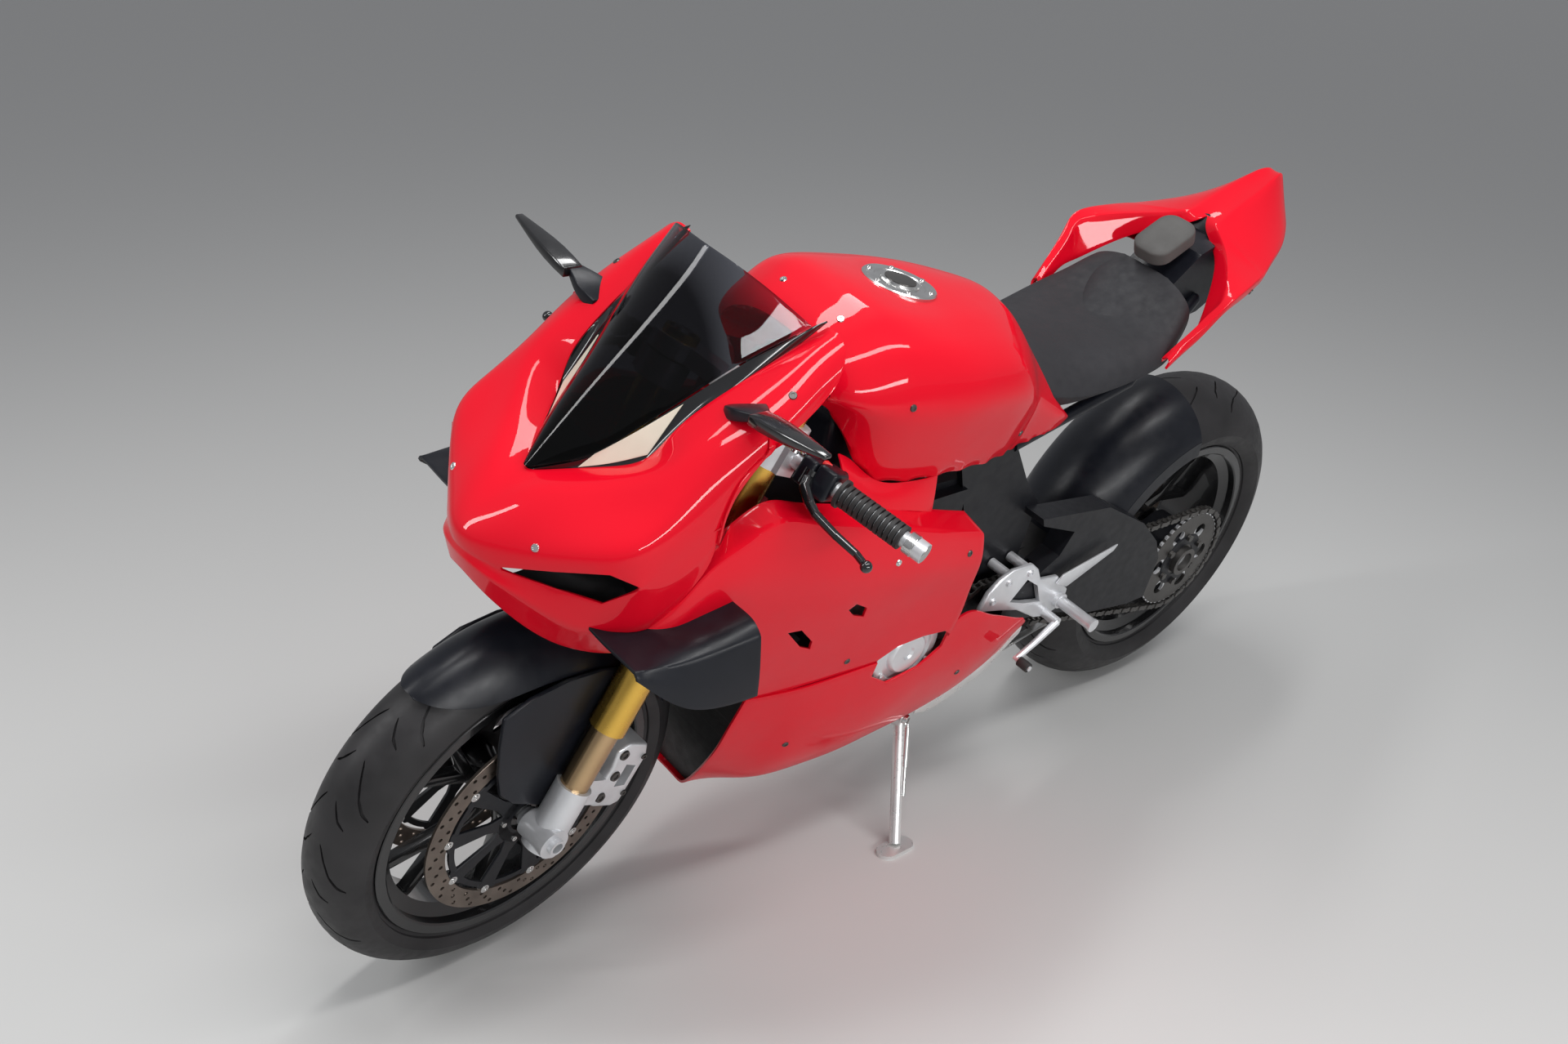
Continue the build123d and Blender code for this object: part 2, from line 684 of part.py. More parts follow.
window = [(925, 470), (890, 520), (830, 530), (780, 500), (765, 455), (800, 400), (870, 392), (912, 425)]
side_panels, belly_panels = [], []
for side in (1, -1):
    with BuildPart() as upper_panel:
        add(shell(upper_sections, skin))
        add(side_cut(upper_side), mode=Mode.INTERSECT)
        for vent in vents:
            add(side_cut(vent, 180), mode=Mode.SUBTRACT)
        add(side_cut(window, 150), mode=Mode.SUBTRACT)
        add(intake_liners.part, mode=Mode.SUBTRACT)
        if side < 0:
            mirror(about=Plane.XZ, mode=Mode.REPLACE)
    side_panels.append(upper_panel.part)
    with BuildPart() as belly_panel:
        add(shell(belly_sections, skin))
        add(side_cut(belly_side), mode=Mode.INTERSECT)
        add(side_cut(window, 150), mode=Mode.SUBTRACT)
        if side > 0:
            with Locations(stand_opening):
                Box(76, 64, 84, mode=Mode.SUBTRACT)
        if side < 0:
            mirror(about=Plane.XZ, mode=Mode.REPLACE)
    belly_panels.append(belly_panel.part)
with BuildPart() as side_fairings:
    add(side_panels)
finish(side_fairings, "side_fairings")
with BuildPart() as belly_fairings:
    add(belly_panels)
finish(belly_fairings, "belly_fairings")

upper_solid = block(upper_sections)
nose_solid = block(nose_sections)
winglet_sections = {
    1482: [(140, 704), (200, 707), (248, 708), (260, 699)],
    1400: [(140, 716), (230, 718), (268, 700), (290, 640)],
    1305: [(160, 738), (250, 738), (278, 716), (296, 634)],
}
with BuildPart() as winglets:
    add(shell(winglet_sections, 5))
    add(upper_solid, mode=Mode.SUBTRACT)
    add(nose_solid, mode=Mode.SUBTRACT)
    mirror(about=Plane.XZ)
finish(winglets, "winglets")

mirror_blade = {  # distance out: x and z limits of the pod
    190: (1300, 1342, 984, 1001),
    244: (1284, 1350, 986, 1016),
    326: (1302, 1330, 1010, 1021),
}
mirror_foot = [(138, 974), (192, 1001), (192, 984), (150, 960)]
with BuildPart() as mirrors:
    for y, (back, front, low_z, high_z) in mirror_blade.items():
        with BuildSketch(Plane.XZ.offset(-y)):
            with Locations(((back + front) / 2, (low_z + high_z) / 2)):
                Rectangle(front - back, high_z - low_z)
    loft(ruled=True)
    add(front_cut(mirror_foot, 1264, 1322))
    add(nose_solid, mode=Mode.SUBTRACT)
    mirror(about=Plane.XZ)
finish(mirrors, "mirrors")

side_strip = {
    1440: [(38.2, 880), (53, 853)],
    1380: [(64.2, 928), (88.6, 892)],
    1320: [(90.2, 984), (115.6, 943)],
    1270: [(112.2, 1022), (125.6, 992)],
    1200: [(133, 1056), (136.4, 1042)],
}
with BuildPart() as screen_side_panels:
    add(shell(side_strip, screen_skin))
    mirror(about=Plane.XZ)
    add(windscreen.part, mode=Mode.SUBTRACT)
    add(nose_fairing.part, mode=Mode.SUBTRACT)
finish(screen_side_panels, "screen_side_panels")

radiator_tilt = radians(18)  # top forwards
radiator_plane = Plane(
    origin=(1164, 0, 546), x_dir=(0, 1, 0), z_dir=(-cos(radiator_tilt), 0, sin(radiator_tilt))
)
with BuildPart() as radiator:
    with BuildSketch(radiator_plane):
        Rectangle(280, 208)
    extrude(amount=34)
    for side in (-1, 1):
        with Locations((1080, side * 70, 462)):
            Box(90, 14, 16)
    add(engine_block.part, mode=Mode.SUBTRACT)
finish(radiator, "radiator")

tank_sections = {
    1092: [(60, 996), (100, 984), (136, 956), (150, 922), (118, 866)],
    1010: [(80, 1026), (126, 1008), (164, 968), (180, 915), (150, 796)],
    890: [(70, 1004), (126, 994), (176, 960), (190, 900), (156, 775)],
    770: [(60, 986), (112, 974), (164, 945), (178, 890), (150, 765)],
    690: [(40, 966), (84, 950), (128, 905), (148, 850), (132, 762)],
    610: [(20, 884), (60, 876), (108, 842), (134, 810), (128, 768)],
    545: [(10, 800), (40, 798), (90, 790), (118, 780), (112, 764)],
}
tank_wall, filler_radius = 4.0, 28.0
tank_solid = block(tank_sections)
cap_plane = Plane(origin=(893, 0, 1004), x_dir=(1, 0, 0), z_dir=(-0.16, 0, 1))
with BuildPart() as tank_hollow:
    front_end, rear_end = max(tank_sections), min(tank_sections)
    for x, points in tank_sections.items():
        end_gap = -2 * tank_wall if x == front_end else 2 * tank_wall if x == rear_end else 0
        with BuildSketch(Plane.YZ.offset(x + end_gap)):
            with BuildLine():
                around = [(-y, z) for y, z in reversed(points)]
                Polyline((0, points[0][1]), *points, (0, points[-1][1]), *around, close=True)
            make_face()
            offset(amount=-tank_wall, kind=Kind.INTERSECTION)
    loft(ruled=True)
with BuildPart() as fuel_tank:
    add(tank_solid)
    add(tank_hollow.part, mode=Mode.SUBTRACT)
    with BuildSketch(cap_plane):  # the filler's mouth, under the cap
        Circle(filler_radius)
    extrude(amount=40, both=True, mode=Mode.SUBTRACT)
finish(fuel_tank, "fuel_tank")

with BuildPart() as fuel_cap:
    with BuildSketch(cap_plane):
        Circle(56)
    extrude(amount=6)
    with BuildSketch(cap_plane):
        Circle(56)
    extrude(amount=-8)
    add(tank_solid, mode=Mode.SUBTRACT)
finish(fuel_cap, "fuel_cap")

seat_sections = {
    640: [(30, 892), (60, 886), (92, 862), (112, 830), (104, 806)],
    500: [(50, 880), (96, 872), (130, 846), (136, 826), (112, 808)],
    370: [(60, 892), (116, 888), (133, 868), (132, 844), (112, 822)],
    284: [(48, 946), (98, 926), (112, 896), (108, 866), (92, 846)],
}
with BuildPart() as rider_seat:
    add(block(seat_sections))
    add(tank_solid, mode=Mode.SUBTRACT)
    with Locations((640, 0, 780)):
        Box(80, 300, 60, mode=Mode.SUBTRACT)
finish(rider_seat, "rider_seat")

tail_sections = {
    368: [(134, 850), (137, 862), (146, 869), (154, 862), (153, 850)],
    320: [(139, 888), (148, 916), (162, 922), (162, 904), (154, 888)],
    278: [(130, 904), (156, 966), (172, 971), (169, 952), (156, 934)],
    182: [(60, 984), (70, 1004), (149, 985), (146, 962), (122, 936)],
    168: [(14, 1016), (32, 1024), (144, 986), (141, 962), (114, 932)],
    158: [(-1, 1028), (32, 1028), (140, 988), (137, 962), (110, 930)],
    39: [(-1, 1074), (25, 1074), (92, 1008), (88, 976), (62, 945)],
    -17: [(-1, 1092), (16, 1092), (54, 1024), (60, 984), (42, 962)],
    -44: [(-1, 1064), (8, 1064), (28, 1014), (32, 988), (22, 970)],
}
with BuildPart() as tail_cowl:
    add(shell(tail_sections, skin))
    mirror(about=Plane.XZ)
finish(tail_cowl, "tail_cowl")


def tail_roof(x):
    """Underside of the cowl's flat top, between its sections at x = 158 and 39."""
    front, back = tail_sections[158][0][1], tail_sections[39][0][1]
    return front + (158 - x) / (158 - 39) * (back - front) - skin


core_side = [(276, 850), (272, 930), (210, 984), (166, 1000), (60, 1000), (60, 930), (160, 870)]
core_top = [(160, 990), (150, tail_roof(150)), (60, tail_roof(60)), (60, 990)]
pad_plane = Plane(origin=(262, 0, 980), x_dir=(1, 0, -0.48), z_dir=(0.48, 0, 1))
rail_points = [(640, 98, 736), (380, 100, 800), (190, 54, 900)]
seat_beam = (450, 0, 806)
with BuildPart() as rear_subframe:
    for outline, half in ((core_side, 50), (core_top, 22)):
        with BuildSketch(Plane.XZ):
            with BuildLine():
                Polyline(*outline, close=True)
            make_face()
        extrude(amount=half, both=True)
    for side in (-1, 1):
        for start, end in zip(rail_points, rail_points[1:]):
            a, b = (Vector(p[0], side * p[1], p[2]) for p in (start, end))
            with BuildSketch(Plane(origin=a, z_dir=(b - a).normalized())):
                Circle(11)
            extrude(amount=(b - a).length)
            with Locations(b):
                Sphere(11)
    for x, z in ((640, 752), (400, 800)):
        with Locations((x, 0, z)):
            Box(34, 196, 36)
    for piece in (frame.part, tank_solid, rider_seat.part, tail_cowl.part):
        add(piece, mode=Mode.SUBTRACT)
finish(rear_subframe, "rear_subframe")

with BuildPart() as tail_pad:
    with BuildSketch(pad_plane):
        RectangleRounded(118, 96, 30)
    extrude(amount=30)
    with BuildSketch(pad_plane):
        RectangleRounded(90, 70, 20)
    extrude(amount=-60)
    for piece in (rear_subframe, rider_seat, tail_cowl):
        add(piece.part, mode=Mode.SUBTRACT)
finish(tail_pad, "tail_pad")

# ---------------------------------------------------------------- rear suspension, drive and exhaust
# The arm's beam lies outside the chain; its carrier reaches inwards within the rim.
arm_side = [
    (584, 384), (584, 452), (520, 470), (470, 500), (450, 545), (548, 584), (556, 600), (364, 572),
    (230, 500), (160, rear_tyre_radius + 104), (128, rear_tyre_radius + 56), (128, rear_tyre_radius - 36),
    (180, rear_tyre_radius - 36), (307, 322), (450, 372),
]
chain_room = 6.0
carrier_right, carrier_left = 40.0, 104.0


def chain_loop(widen):
    """The chain's outline on the side view, offset outwards by an amount."""
    small, large = front_sprocket_radius + sprocket_gap + widen, rear_sprocket_radius + sprocket_gap + widen
    run = hypot(front_sprocket[0], front_sprocket[1] - rear_tyre_radius)
    slope = atan2(front_sprocket[1] - rear_tyre_radius, front_sprocket[0])
    open_angle = acos((large - small) / run)
    top, bottom = slope + open_angle, slope - open_angle
    at_rear = [(large * cos(t), rear_tyre_radius + large * sin(t)) for t in (top, slope + pi, bottom)]
    at_front = [
        (front_sprocket[0] + small * cos(t), front_sprocket[1] + small * sin(t)) for t in (bottom, slope, top)
    ]
    with BuildLine() as loop:
        ThreePointArc(*at_rear)
        Line(at_rear[2], at_front[0])
        ThreePointArc(*at_front)
        Line(at_front[2], at_rear[0])
    return loop.line


chain_right, chain_left = chain_line - chain_width / 2, chain_line + chain_width / 2
with BuildPart() as chain_tunnel:
    with BuildSketch(Plane.XZ.offset(-chain_left - chain_room)):
        with BuildLine():
            add(chain_loop(chain_height + chain_room))
        make_face()
        with BuildLine():
            add(chain_loop(-chain_room))
        make_face(mode=Mode.SUBTRACT)
    extrude(amount=chain_width + 2 * chain_room)

with BuildPart() as swingarm:
    add(side_cut(arm_side, arm_inner, arm_outer))
    with Locations(Pos(arm_pivot[0], 0, arm_pivot[1]) * Rot(90, 0, 0)):
        with Locations((0, 0, -(engine_half + arm_outer) / 2)):
            Cylinder(arm_boss, arm_outer - engine_half)
    with Locations(Pos(*rear_axle) * Pos(0, (carrier_right + carrier_left) / 2, 0) * Rot(90, 0, 0)):
        Cylinder(62, carrier_left - carrier_right)
    with Locations((112, (carrier_right + carrier_left) / 2 + 4, rear_tyre_radius)):
        Box(130, carrier_left - carrier_right + 8, 84)
    with Locations((466, 37, 420)):  # cross tube that carries the shock
        Box(26, 2 * (arm_inner - 37), 44)
    with Locations((-10, 60, rear_tyre_radius - 74)):  # lug for the calliper
        Box(44, 12, 52)
    with Locations(Pos(*rear_axle) * Rot(90, 0, 0)):
        Cylinder(spindle_radius + running_gap, 400, mode=Mode.SUBTRACT)
    add(chain_tunnel.part, mode=Mode.SUBTRACT)
finish(swingarm, "swingarm")

with BuildPart() as drive_chain:
    with BuildSketch(Plane.XZ.offset(-chain_left)):
        with BuildLine():
            add(chain_loop(chain_height))
        make_face()
        with BuildLine():
            add(chain_loop(0))
        make_face(mode=Mode.SUBTRACT)
    extrude(amount=chain_width)
    with BuildSketch(Plane.XZ.offset(-chain_left)):
        with Locations(front_sprocket):
            Circle(front_sprocket_radius + sprocket_gap)
    extrude(amount=chain_width)
    with BuildSketch(Plane.XZ.offset(-engine_half)):
        with Locations(front_sprocket):
            Circle(14)
    extrude(amount=engine_half - chain_right)
finish(drive_chain, "drive_chain")

hugger_half, hugger_gap, hugger_skin = 103.7, 20.0, 3.0


def hugger_arc(extra):
    half, radius = hugger_half + extra - hugger_skin, rear_tyre_radius + hugger_gap - hugger_skin + extra
    return [(-half, rear_tyre_radius - 60), (0, radius), (half, rear_tyre_radius - 60)]


with BuildPart() as rear_hugger:
    with BuildSketch(Plane.YZ):
        outer, inner = hugger_arc(hugger_skin), hugger_arc(0)
        with BuildLine():
            ThreePointArc(*outer)
            ThreePointArc(*inner)
            Line(inner[0], outer[0])
            Line(inner[2], outer[2])
        make_face()
        with Locations((hugger_half - hugger_skin / 2, rear_tyre_radius - 74)):
            Rectangle(hugger_skin, 32)
    revolve(axis=Axis.Y, revolution_arc=62)
rear_hugger.part = rear_hugger.part.moved(Pos(*rear_axle) * Rot(0, 12, 0))
finish(rear_hugger, "rear_hugger")

shock_foot, shock_head = Vector(468, 0, 446), Vector(566, 0, 640)
with BuildPart() as rear_shock:
    with BuildSketch(Plane(origin=shock_foot, z_dir=(shock_head - shock_foot).normalized())):
        Circle(26)
    extrude(amount=(shock_head - shock_foot).length)
    with Locations((466, 0, 446)):
        Box(26, 26, 30)
    add(engine_block.part, mode=Mode.SUBTRACT)
    add(swingarm.part, mode=Mode.SUBTRACT)
finish(rear_shock, "rear_shock")

rear_disc_middle = rear_disc_offset + disc_thickness / 2
with BuildPart() as rear_calliper:
    with Locations((-10, rear_disc_middle, rear_tyre_radius - 100)):
        Box(84, 2 * (54 - rear_disc_middle), 54)
    with Locations(Pos(*rear_axle) * Pos(0, rear_disc_middle, 0) * Rot(90, 0, 0)):
        Cylinder(rear_disc_radius + 6, 15, mode=Mode.SUBTRACT)
finish(rear_calliper, "rear_calliper")

silencer_sections = {
    688: [(60, 345), (84, 345), (92, 300), (84, 250), (40, 240)],
    600: [(60, 345), (96, 345), (108, 304), (96, 262), (50, 250)],
    500: [(60, 345), (90, 345), (104, 316), (92, 286), (50, 276)],
    440: [(50, 340), (80, 338), (92, 316), (80, 292), (44, 284)],
}
with BuildPart() as exhaust_silencer:
    add(block(silencer_sections))
finish(exhaust_silencer, "exhaust_silencer")

shield_side = [(930, 120), (700, 178), (545, 246), (430, 322), (430, 349), (560, 292), (720, 228), (930, 172)]
with BuildPart() as exhaust_shields:
    raised = {x: inset(points, -seat_gap) for x, points in belly_sections.items() if x < 1100}
    add(shell(raised, -2.5))
    add(side_cut(shield_side), mode=Mode.INTERSECT)
    mirror(about=Plane.XZ)
    with Locations(stand_opening):
        Box(76, 64, 84, mode=Mode.SUBTRACT)
finish(exhaust_shields, "exhaust_shields")

# ---------------------------------------------------------------- rests, pedals and stand
rest_inner, rest_thickness = 150.0, 8.0
rest_plate = [
    (664, 446), (640, 500), (612, 516), (556, 514), (520, 470), (468, 464), (322, 491), (330, 478),
    (455, 440), (430, 420), (430, 396), (468, 376), (560, 420),
]
rest_bolts = [(612, 500), (556, 500)]
peg_at = (446, 408)
with BuildPart() as footrests:
    for side in (-1, 1):
        with BuildSketch(Plane.XZ.offset(-side * rest_inner)):
            with BuildLine():
                Polyline(*rest_plate, close=True)
            make_face()
        extrude(amount=-side * rest_thickness)
        with BuildSketch(Plane.XZ.offset(-side * (engine_half + 12))):
            with Locations(*rest_bolts):
                Circle(8)
        extrude(amount=-side * (rest_inner - engine_half - 12))
        with BuildSketch(Plane.XZ.offset(-side * (rest_inner + rest_thickness))):
            with Locations(peg_at):
                RectangleRounded(24, 20, 6)
        extrude(amount=-side * 84)
finish(footrests, "footrests")

pedal_start, pedal_end, pedal_out = (474, 388), (562, 340), 186.0
with BuildPart() as foot_pedals:
    for side in (-1, 1):
        with BuildSketch(Plane.XZ.offset(-side * (rest_inner + rest_thickness))):
            with Locations(pedal_start):
                Circle(8)
        extrude(amount=-side * (pedal_out - rest_inner - rest_thickness))
        with BuildSketch(Plane.XZ.offset(-side * pedal_out)):
            with BuildLine():
                Polyline((464, 398), (484, 398), (570, 346), (564, 334), (466, 378), close=True)
            make_face()
        extrude(amount=-side * 7)
        with BuildSketch(Plane.XZ.offset(-side * (pedal_out + 7))):
            with Locations(pedal_end):
                Circle(9)
        extrude(amount=-side * 28)
finish(foot_pedals, "foot_pedals")

with BuildPart() as side_stand:
    with BuildSketch(Plane(origin=stand_pivot, z_dir=stand_along)):
        Circle(10)
    extrude(amount=(stand_floor - stand_pivot).length - 10)
    with BuildSketch(Plane(origin=stand_pivot - stand_axis * stand_hub / 2, z_dir=stand_axis)):
        Circle(17)
    extrude(amount=stand_hub)
side_stand.part = side_stand.part.moved(parked)
touch = (parked * Pos(*stand_floor)).position
with BuildPart() as stand_foot:
    with BuildSketch(Plane.XY):
        with Locations((touch.X, touch.Y)):
            SlotOverall(74, 36)
    extrude(amount=stand_foot_height)
side_stand.part = side_stand.part + stand_foot.part
finish(side_stand, "side_stand", Location())

# ---------------------------------------------------------------- centring and files
boxes = [shape.bounding_box() for shape in finished.values()]
low = Vector(*(min(getattr(b.min, axis) for b in boxes) for axis in "XYZ"))
high = Vector(*(max(getattr(b.max, axis) for b in boxes) for axis in "XYZ"))
centre = Pos(-(low.X + high.X) / 2, -(low.Y + high.Y) / 2, 0)
os.makedirs("parts", exist_ok=True)
for label, shape in finished.items():
    placed = shape.moved(centre)
    placed.label = label
    export_step(placed, f"parts/{label}.step")


def report_place(name, where, point, direction=(0, 0, 1)):
    """Prints a joint's or mount's point and direction as they stand."""
    at = (centre * where * Pos(*point)).position
    tip = (centre * where * Pos(*(Vector(*point) + Vector(*direction)))).position
    axis = tip - at
    print(f"{name}: {at.X:.3f} {at.Y:.3f} {at.Z:.3f} axis {axis.X:.6f} {axis.Y:.6f} {axis.Z:.6f}")


print(f"pitch {pitch:.4f} centre {centre.position.X:.3f} {centre.position.Y:.3f}")
print(f"box {high.X - low.X:.1f} {high.Y - low.Y:.1f} {high.Z - low.Z:.1f} bottom {low.Z:.3f}")
report_place("steering", parked, steer_foot + steer_up * 900, steer_up)
report_place("front wheel", turned, front_axle, (0, 1, 0))
report_place("rear wheel", parked, rear_axle, (0, 1, 0))
report_place("stand", parked, stand_pivot, stand_axis)
report_place("rear spindle bore", parked, rear_axle + Vector(0, -40, 0), (0, -1, 0))
report_place("stem bore", forked, (stem_x, 0, lower_yoke[0]), (0, 0, 1))
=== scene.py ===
# %% [markdown]
# # A sport motorcycle on its side stand
# The machine's construction is already made: wheels, fork, arm, engine and panels stand in a fixed
# frame, each as plain solids that move on real joints. This lesson dresses that frame. Smooth
# panels, tread, chain, drilled discs and paint are modelled here, and each rides the body it is on.

# %% Load the fixed frame
import bmesh
import bpy
import json
from math import acos, atan2, cos, degrees, hypot, pi, radians, sin
from mathutils import Matrix, Vector


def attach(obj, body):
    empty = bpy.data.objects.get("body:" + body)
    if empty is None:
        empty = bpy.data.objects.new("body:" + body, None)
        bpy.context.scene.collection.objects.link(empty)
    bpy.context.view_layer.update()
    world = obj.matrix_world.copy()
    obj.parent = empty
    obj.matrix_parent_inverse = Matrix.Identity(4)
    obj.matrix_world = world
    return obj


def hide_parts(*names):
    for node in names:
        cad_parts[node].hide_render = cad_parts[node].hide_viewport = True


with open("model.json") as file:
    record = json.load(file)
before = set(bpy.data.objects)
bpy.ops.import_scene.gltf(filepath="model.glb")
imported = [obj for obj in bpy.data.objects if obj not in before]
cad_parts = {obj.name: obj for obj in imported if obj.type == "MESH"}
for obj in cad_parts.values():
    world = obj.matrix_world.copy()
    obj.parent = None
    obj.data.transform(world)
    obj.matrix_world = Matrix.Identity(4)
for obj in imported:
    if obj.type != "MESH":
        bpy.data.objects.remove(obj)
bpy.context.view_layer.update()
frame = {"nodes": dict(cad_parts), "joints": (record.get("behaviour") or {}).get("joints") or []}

# %% [markdown]
# ## Drawing boards
# A leaning, steered machine is awkward to draw where it stands. So every piece is drawn in
# millimetres on an upright board: x ahead, y to the rider's left, z up. The bike's own board has
# its origin on the road under the rear axle. The fork's board has it in the front axle, with z up
# along the legs. A board is a matrix worked out from the frame's joints, and the last step of each
# piece carries its mesh through that matrix, so that its object stays at the origin.

# %% Boards from the joints
mm = 0.001
rake = radians(24.5)  # the steering axis leans back by this much
rear_radius, front_radius = 336.0, 300.0  # tyres, from axle to tread
joints = {joint["name"]: joint for joint in frame["joints"]}


def board(x, y, z, origin):
    """Matrix from a board's millimetres to the frame's metres."""
    turn = Matrix((x, y, z)).transposed().to_4x4()
    return Matrix.Translation(origin) @ turn @ Matrix.Scale(mm, 4)


def joint_line(name):
    return Vector(joints[name]["pos_m"]), Vector(joints[name]["axis"]).normalized()


rear_axle, left = joint_line("rear_wheel_spin")
front_axle, wheel_left = joint_line("front_wheel_spin")
steer_up = joint_line("steering")[1]
across = left.cross(steer_up)
ahead = across * cos(rake) - steer_up * sin(rake)
upward = across * sin(rake) + steer_up * cos(rake)
bike = board(ahead, left, upward, rear_axle - upward * rear_radius * mm)
fork = board(wheel_left.cross(steer_up), wheel_left, steer_up, front_axle)
rear_wheel = bike @ Matrix.Translation((0, 0, rear_radius))
print("lean", round(degrees(acos(upward.z)), 1), "degrees")

# %% A board, and the body that a piece drawn on it rides
on_chassis, on_stand = (bike, "chassis"), (bike, "side_stand")
on_steering, on_front_wheel = (fork, "steering"), (fork, "front_wheel")
on_rear_wheel = (rear_wheel, "rear_wheel")

# %% [markdown]
# ## The camera
# It stands ahead and to the left, well above the bars, and looks down on the machine with a
# slight roll, through a moderate wide-angle lens. Its matrix is built from the line of sight and
# the two directions across it, so that heading, dip and roll each have a number of their own.

# %% Camera
camera_place = Vector((1.7311, 1.4811, 1.5988))
camera_heading, camera_dip, camera_roll = radians(-133.31), radians(-25.08), radians(4.777)
lens, sensor = 35.45, 36.0
sight = Vector((
    cos(camera_dip) * cos(camera_heading),
    cos(camera_dip) * sin(camera_heading),
    sin(camera_dip),
))
level = sight.cross(Vector((0, 0, 1))).normalized()
over = level.cross(sight)
view_right = level * cos(camera_roll) + over * sin(camera_roll)
view_up = over * cos(camera_roll) - level * sin(camera_roll)
camera_data = bpy.data.cameras.new("camera")
camera_data.lens, camera_data.sensor_width = lens, sensor
camera = bpy.data.objects.new("camera", camera_data)
camera.matrix_world = Matrix.Translation(camera_place) @ Matrix(
    (view_right, view_up, -sight)
).transposed().to_4x4()
bpy.context.scene.collection.objects.link(camera)
bpy.context.scene.camera = camera
middle = Vector((0, 0, 0.5))
print("camera", round((camera_place - middle).length, 2), "m from the machine")

# %% [markdown]
# ## Finishes
# No real surface is one flat colour. Each finish here varies its shade over a hand's breadth,
# varies its roughness, and has a fine grain as bump. One function wires that up, and each finish
# names its own colour, roughness and grain. The pattern reads the object's own coordinates, so it
# stays on the piece when the piece moves.


# %% Small helpers for nodes
def link(tree, source, target):
    tree.links.new(source, target)


def noise(tree, place, scale, detail=3.0):
    node = tree.nodes.new("ShaderNodeTexNoise")
    node.inputs["Scale"].default_value = scale
    node.inputs["Detail"].default_value = detail
    link(tree, place, node.inputs["Vector"])
    return node.outputs["Fac"]


noise_low, noise_high = 0.3, 0.7  # nearly all of a noise lies between these


def spread(tree, value, low, high):
    """Takes a noise value's usual spread to the range from low to high."""
    node = tree.nodes.new("ShaderNodeMapRange")
    ends = {"From Min": noise_low, "From Max": noise_high, "To Min": low, "To Max": high}
    for socket, number in ends.items():
        node.inputs[socket].default_value = number
    link(tree, value, node.inputs["Value"])
    return node.outputs["Result"]


def bump(tree, height, shader, depth):
    """Bump of a depth in millimetres."""
    node = tree.nodes.new("ShaderNodeBump")
    node.inputs["Distance"].default_value = depth * mm
    node.inputs["Strength"].default_value = 1.0
    link(tree, height, node.inputs["Height"])
    link(tree, node.outputs["Normal"], shader.inputs["Normal"])


# %% The shared wiring of a finish
def new_material(name):
    """A material with its tree, its shader and the coordinates of the object it is on."""
    material = bpy.data.materials.new(name)
    material.use_nodes = True
    tree = material.node_tree
    place = tree.nodes.new("ShaderNodeTexCoord").outputs["Object"]
    return material, tree, tree.nodes["Principled BSDF"], place


def finish(
    name, colour, rough, metal=0.0, coat=0.0, shade=0.12, patch=14, grain=900, depth=0.05, **more
):
    """A finish with a mottled shade, uneven roughness and a grain of some depth in millimetres."""
    material, tree, shader, place = new_material(name)
    ramp = tree.nodes.new("ShaderNodeValToRGB")
    stops = ramp.color_ramp.elements
    stops[0].position, stops[1].position = noise_low, noise_high
    for stop, change in zip(stops, (1 - shade, 1 + shade)):
        stop.color = (*(min(1.0, part * change) for part in colour), 1)
    link(tree, noise(tree, place, patch), ramp.inputs["Fac"])
    link(tree, ramp.outputs["Color"], shader.inputs["Base Color"])
    uneven = spread(tree, noise(tree, place, patch * 4, 5.0), rough * 0.85, rough * 1.15)
    link(tree, uneven, shader.inputs["Roughness"])
    shader.inputs["Metallic"].default_value = metal
    shader.inputs["Coat Weight"].default_value = coat
    shader.inputs["Coat Roughness"].default_value = 0.03
    for socket, value in more.items():
        shader.inputs[socket.replace("_", " ")].default_value = value
    bump(tree, noise(tree, place, grain, 4.0), shader, depth)
    return material


# %% [markdown]
# ### Paint and plastics
# The paint is a deep red under clear lacquer, with the very faint orange peel of sprayed
# lacquer. The moulded plastics have a dull grain, and their shade wanders more than paint's does.
# Both could be one flat colour with a gloss on top, but then a curved panel looks like a toy's.

# %% Paint and plastics
red_paint = finish(
    "red_paint", (0.68, 0.001, 0.014), 0.5, coat=0.6, shade=0.05, patch=3, grain=260, depth=0.012,
    Specular_IOR_Level=0.05,
)
black_plastic = finish(
    "black_plastic", (0.007, 0.008, 0.012), 0.33, shade=0.18, grain=1400, depth=0.03,
    Specular_IOR_Level=0.3,
)
gloss_black = finish("gloss_black", (0.008, 0.008, 0.009), 0.16, coat=0.6, grain=500, depth=0.01)
beige_panel = finish(
    "beige_panel", (0.66, 0.6, 0.49), 0.4, coat=0.4, shade=0.05, grain=400, depth=0.01,
)
core_black = finish("core_black", (0.012, 0.012, 0.013), 0.6, metal=0.2, grain=600, depth=0.1)
red_button = finish("red_button", (0.7, 0.02, 0.02), 0.4, shade=0.05, grain=500, depth=0.02)
print(len(bpy.data.materials), "finishes")

# %% [markdown]
# ### Rubber and covers
# Rubber is never quite black. It greys unevenly with handling and road dust, so its shade varies
# by a quarter. The seat's cover has a coarser grain that stops it from shining.

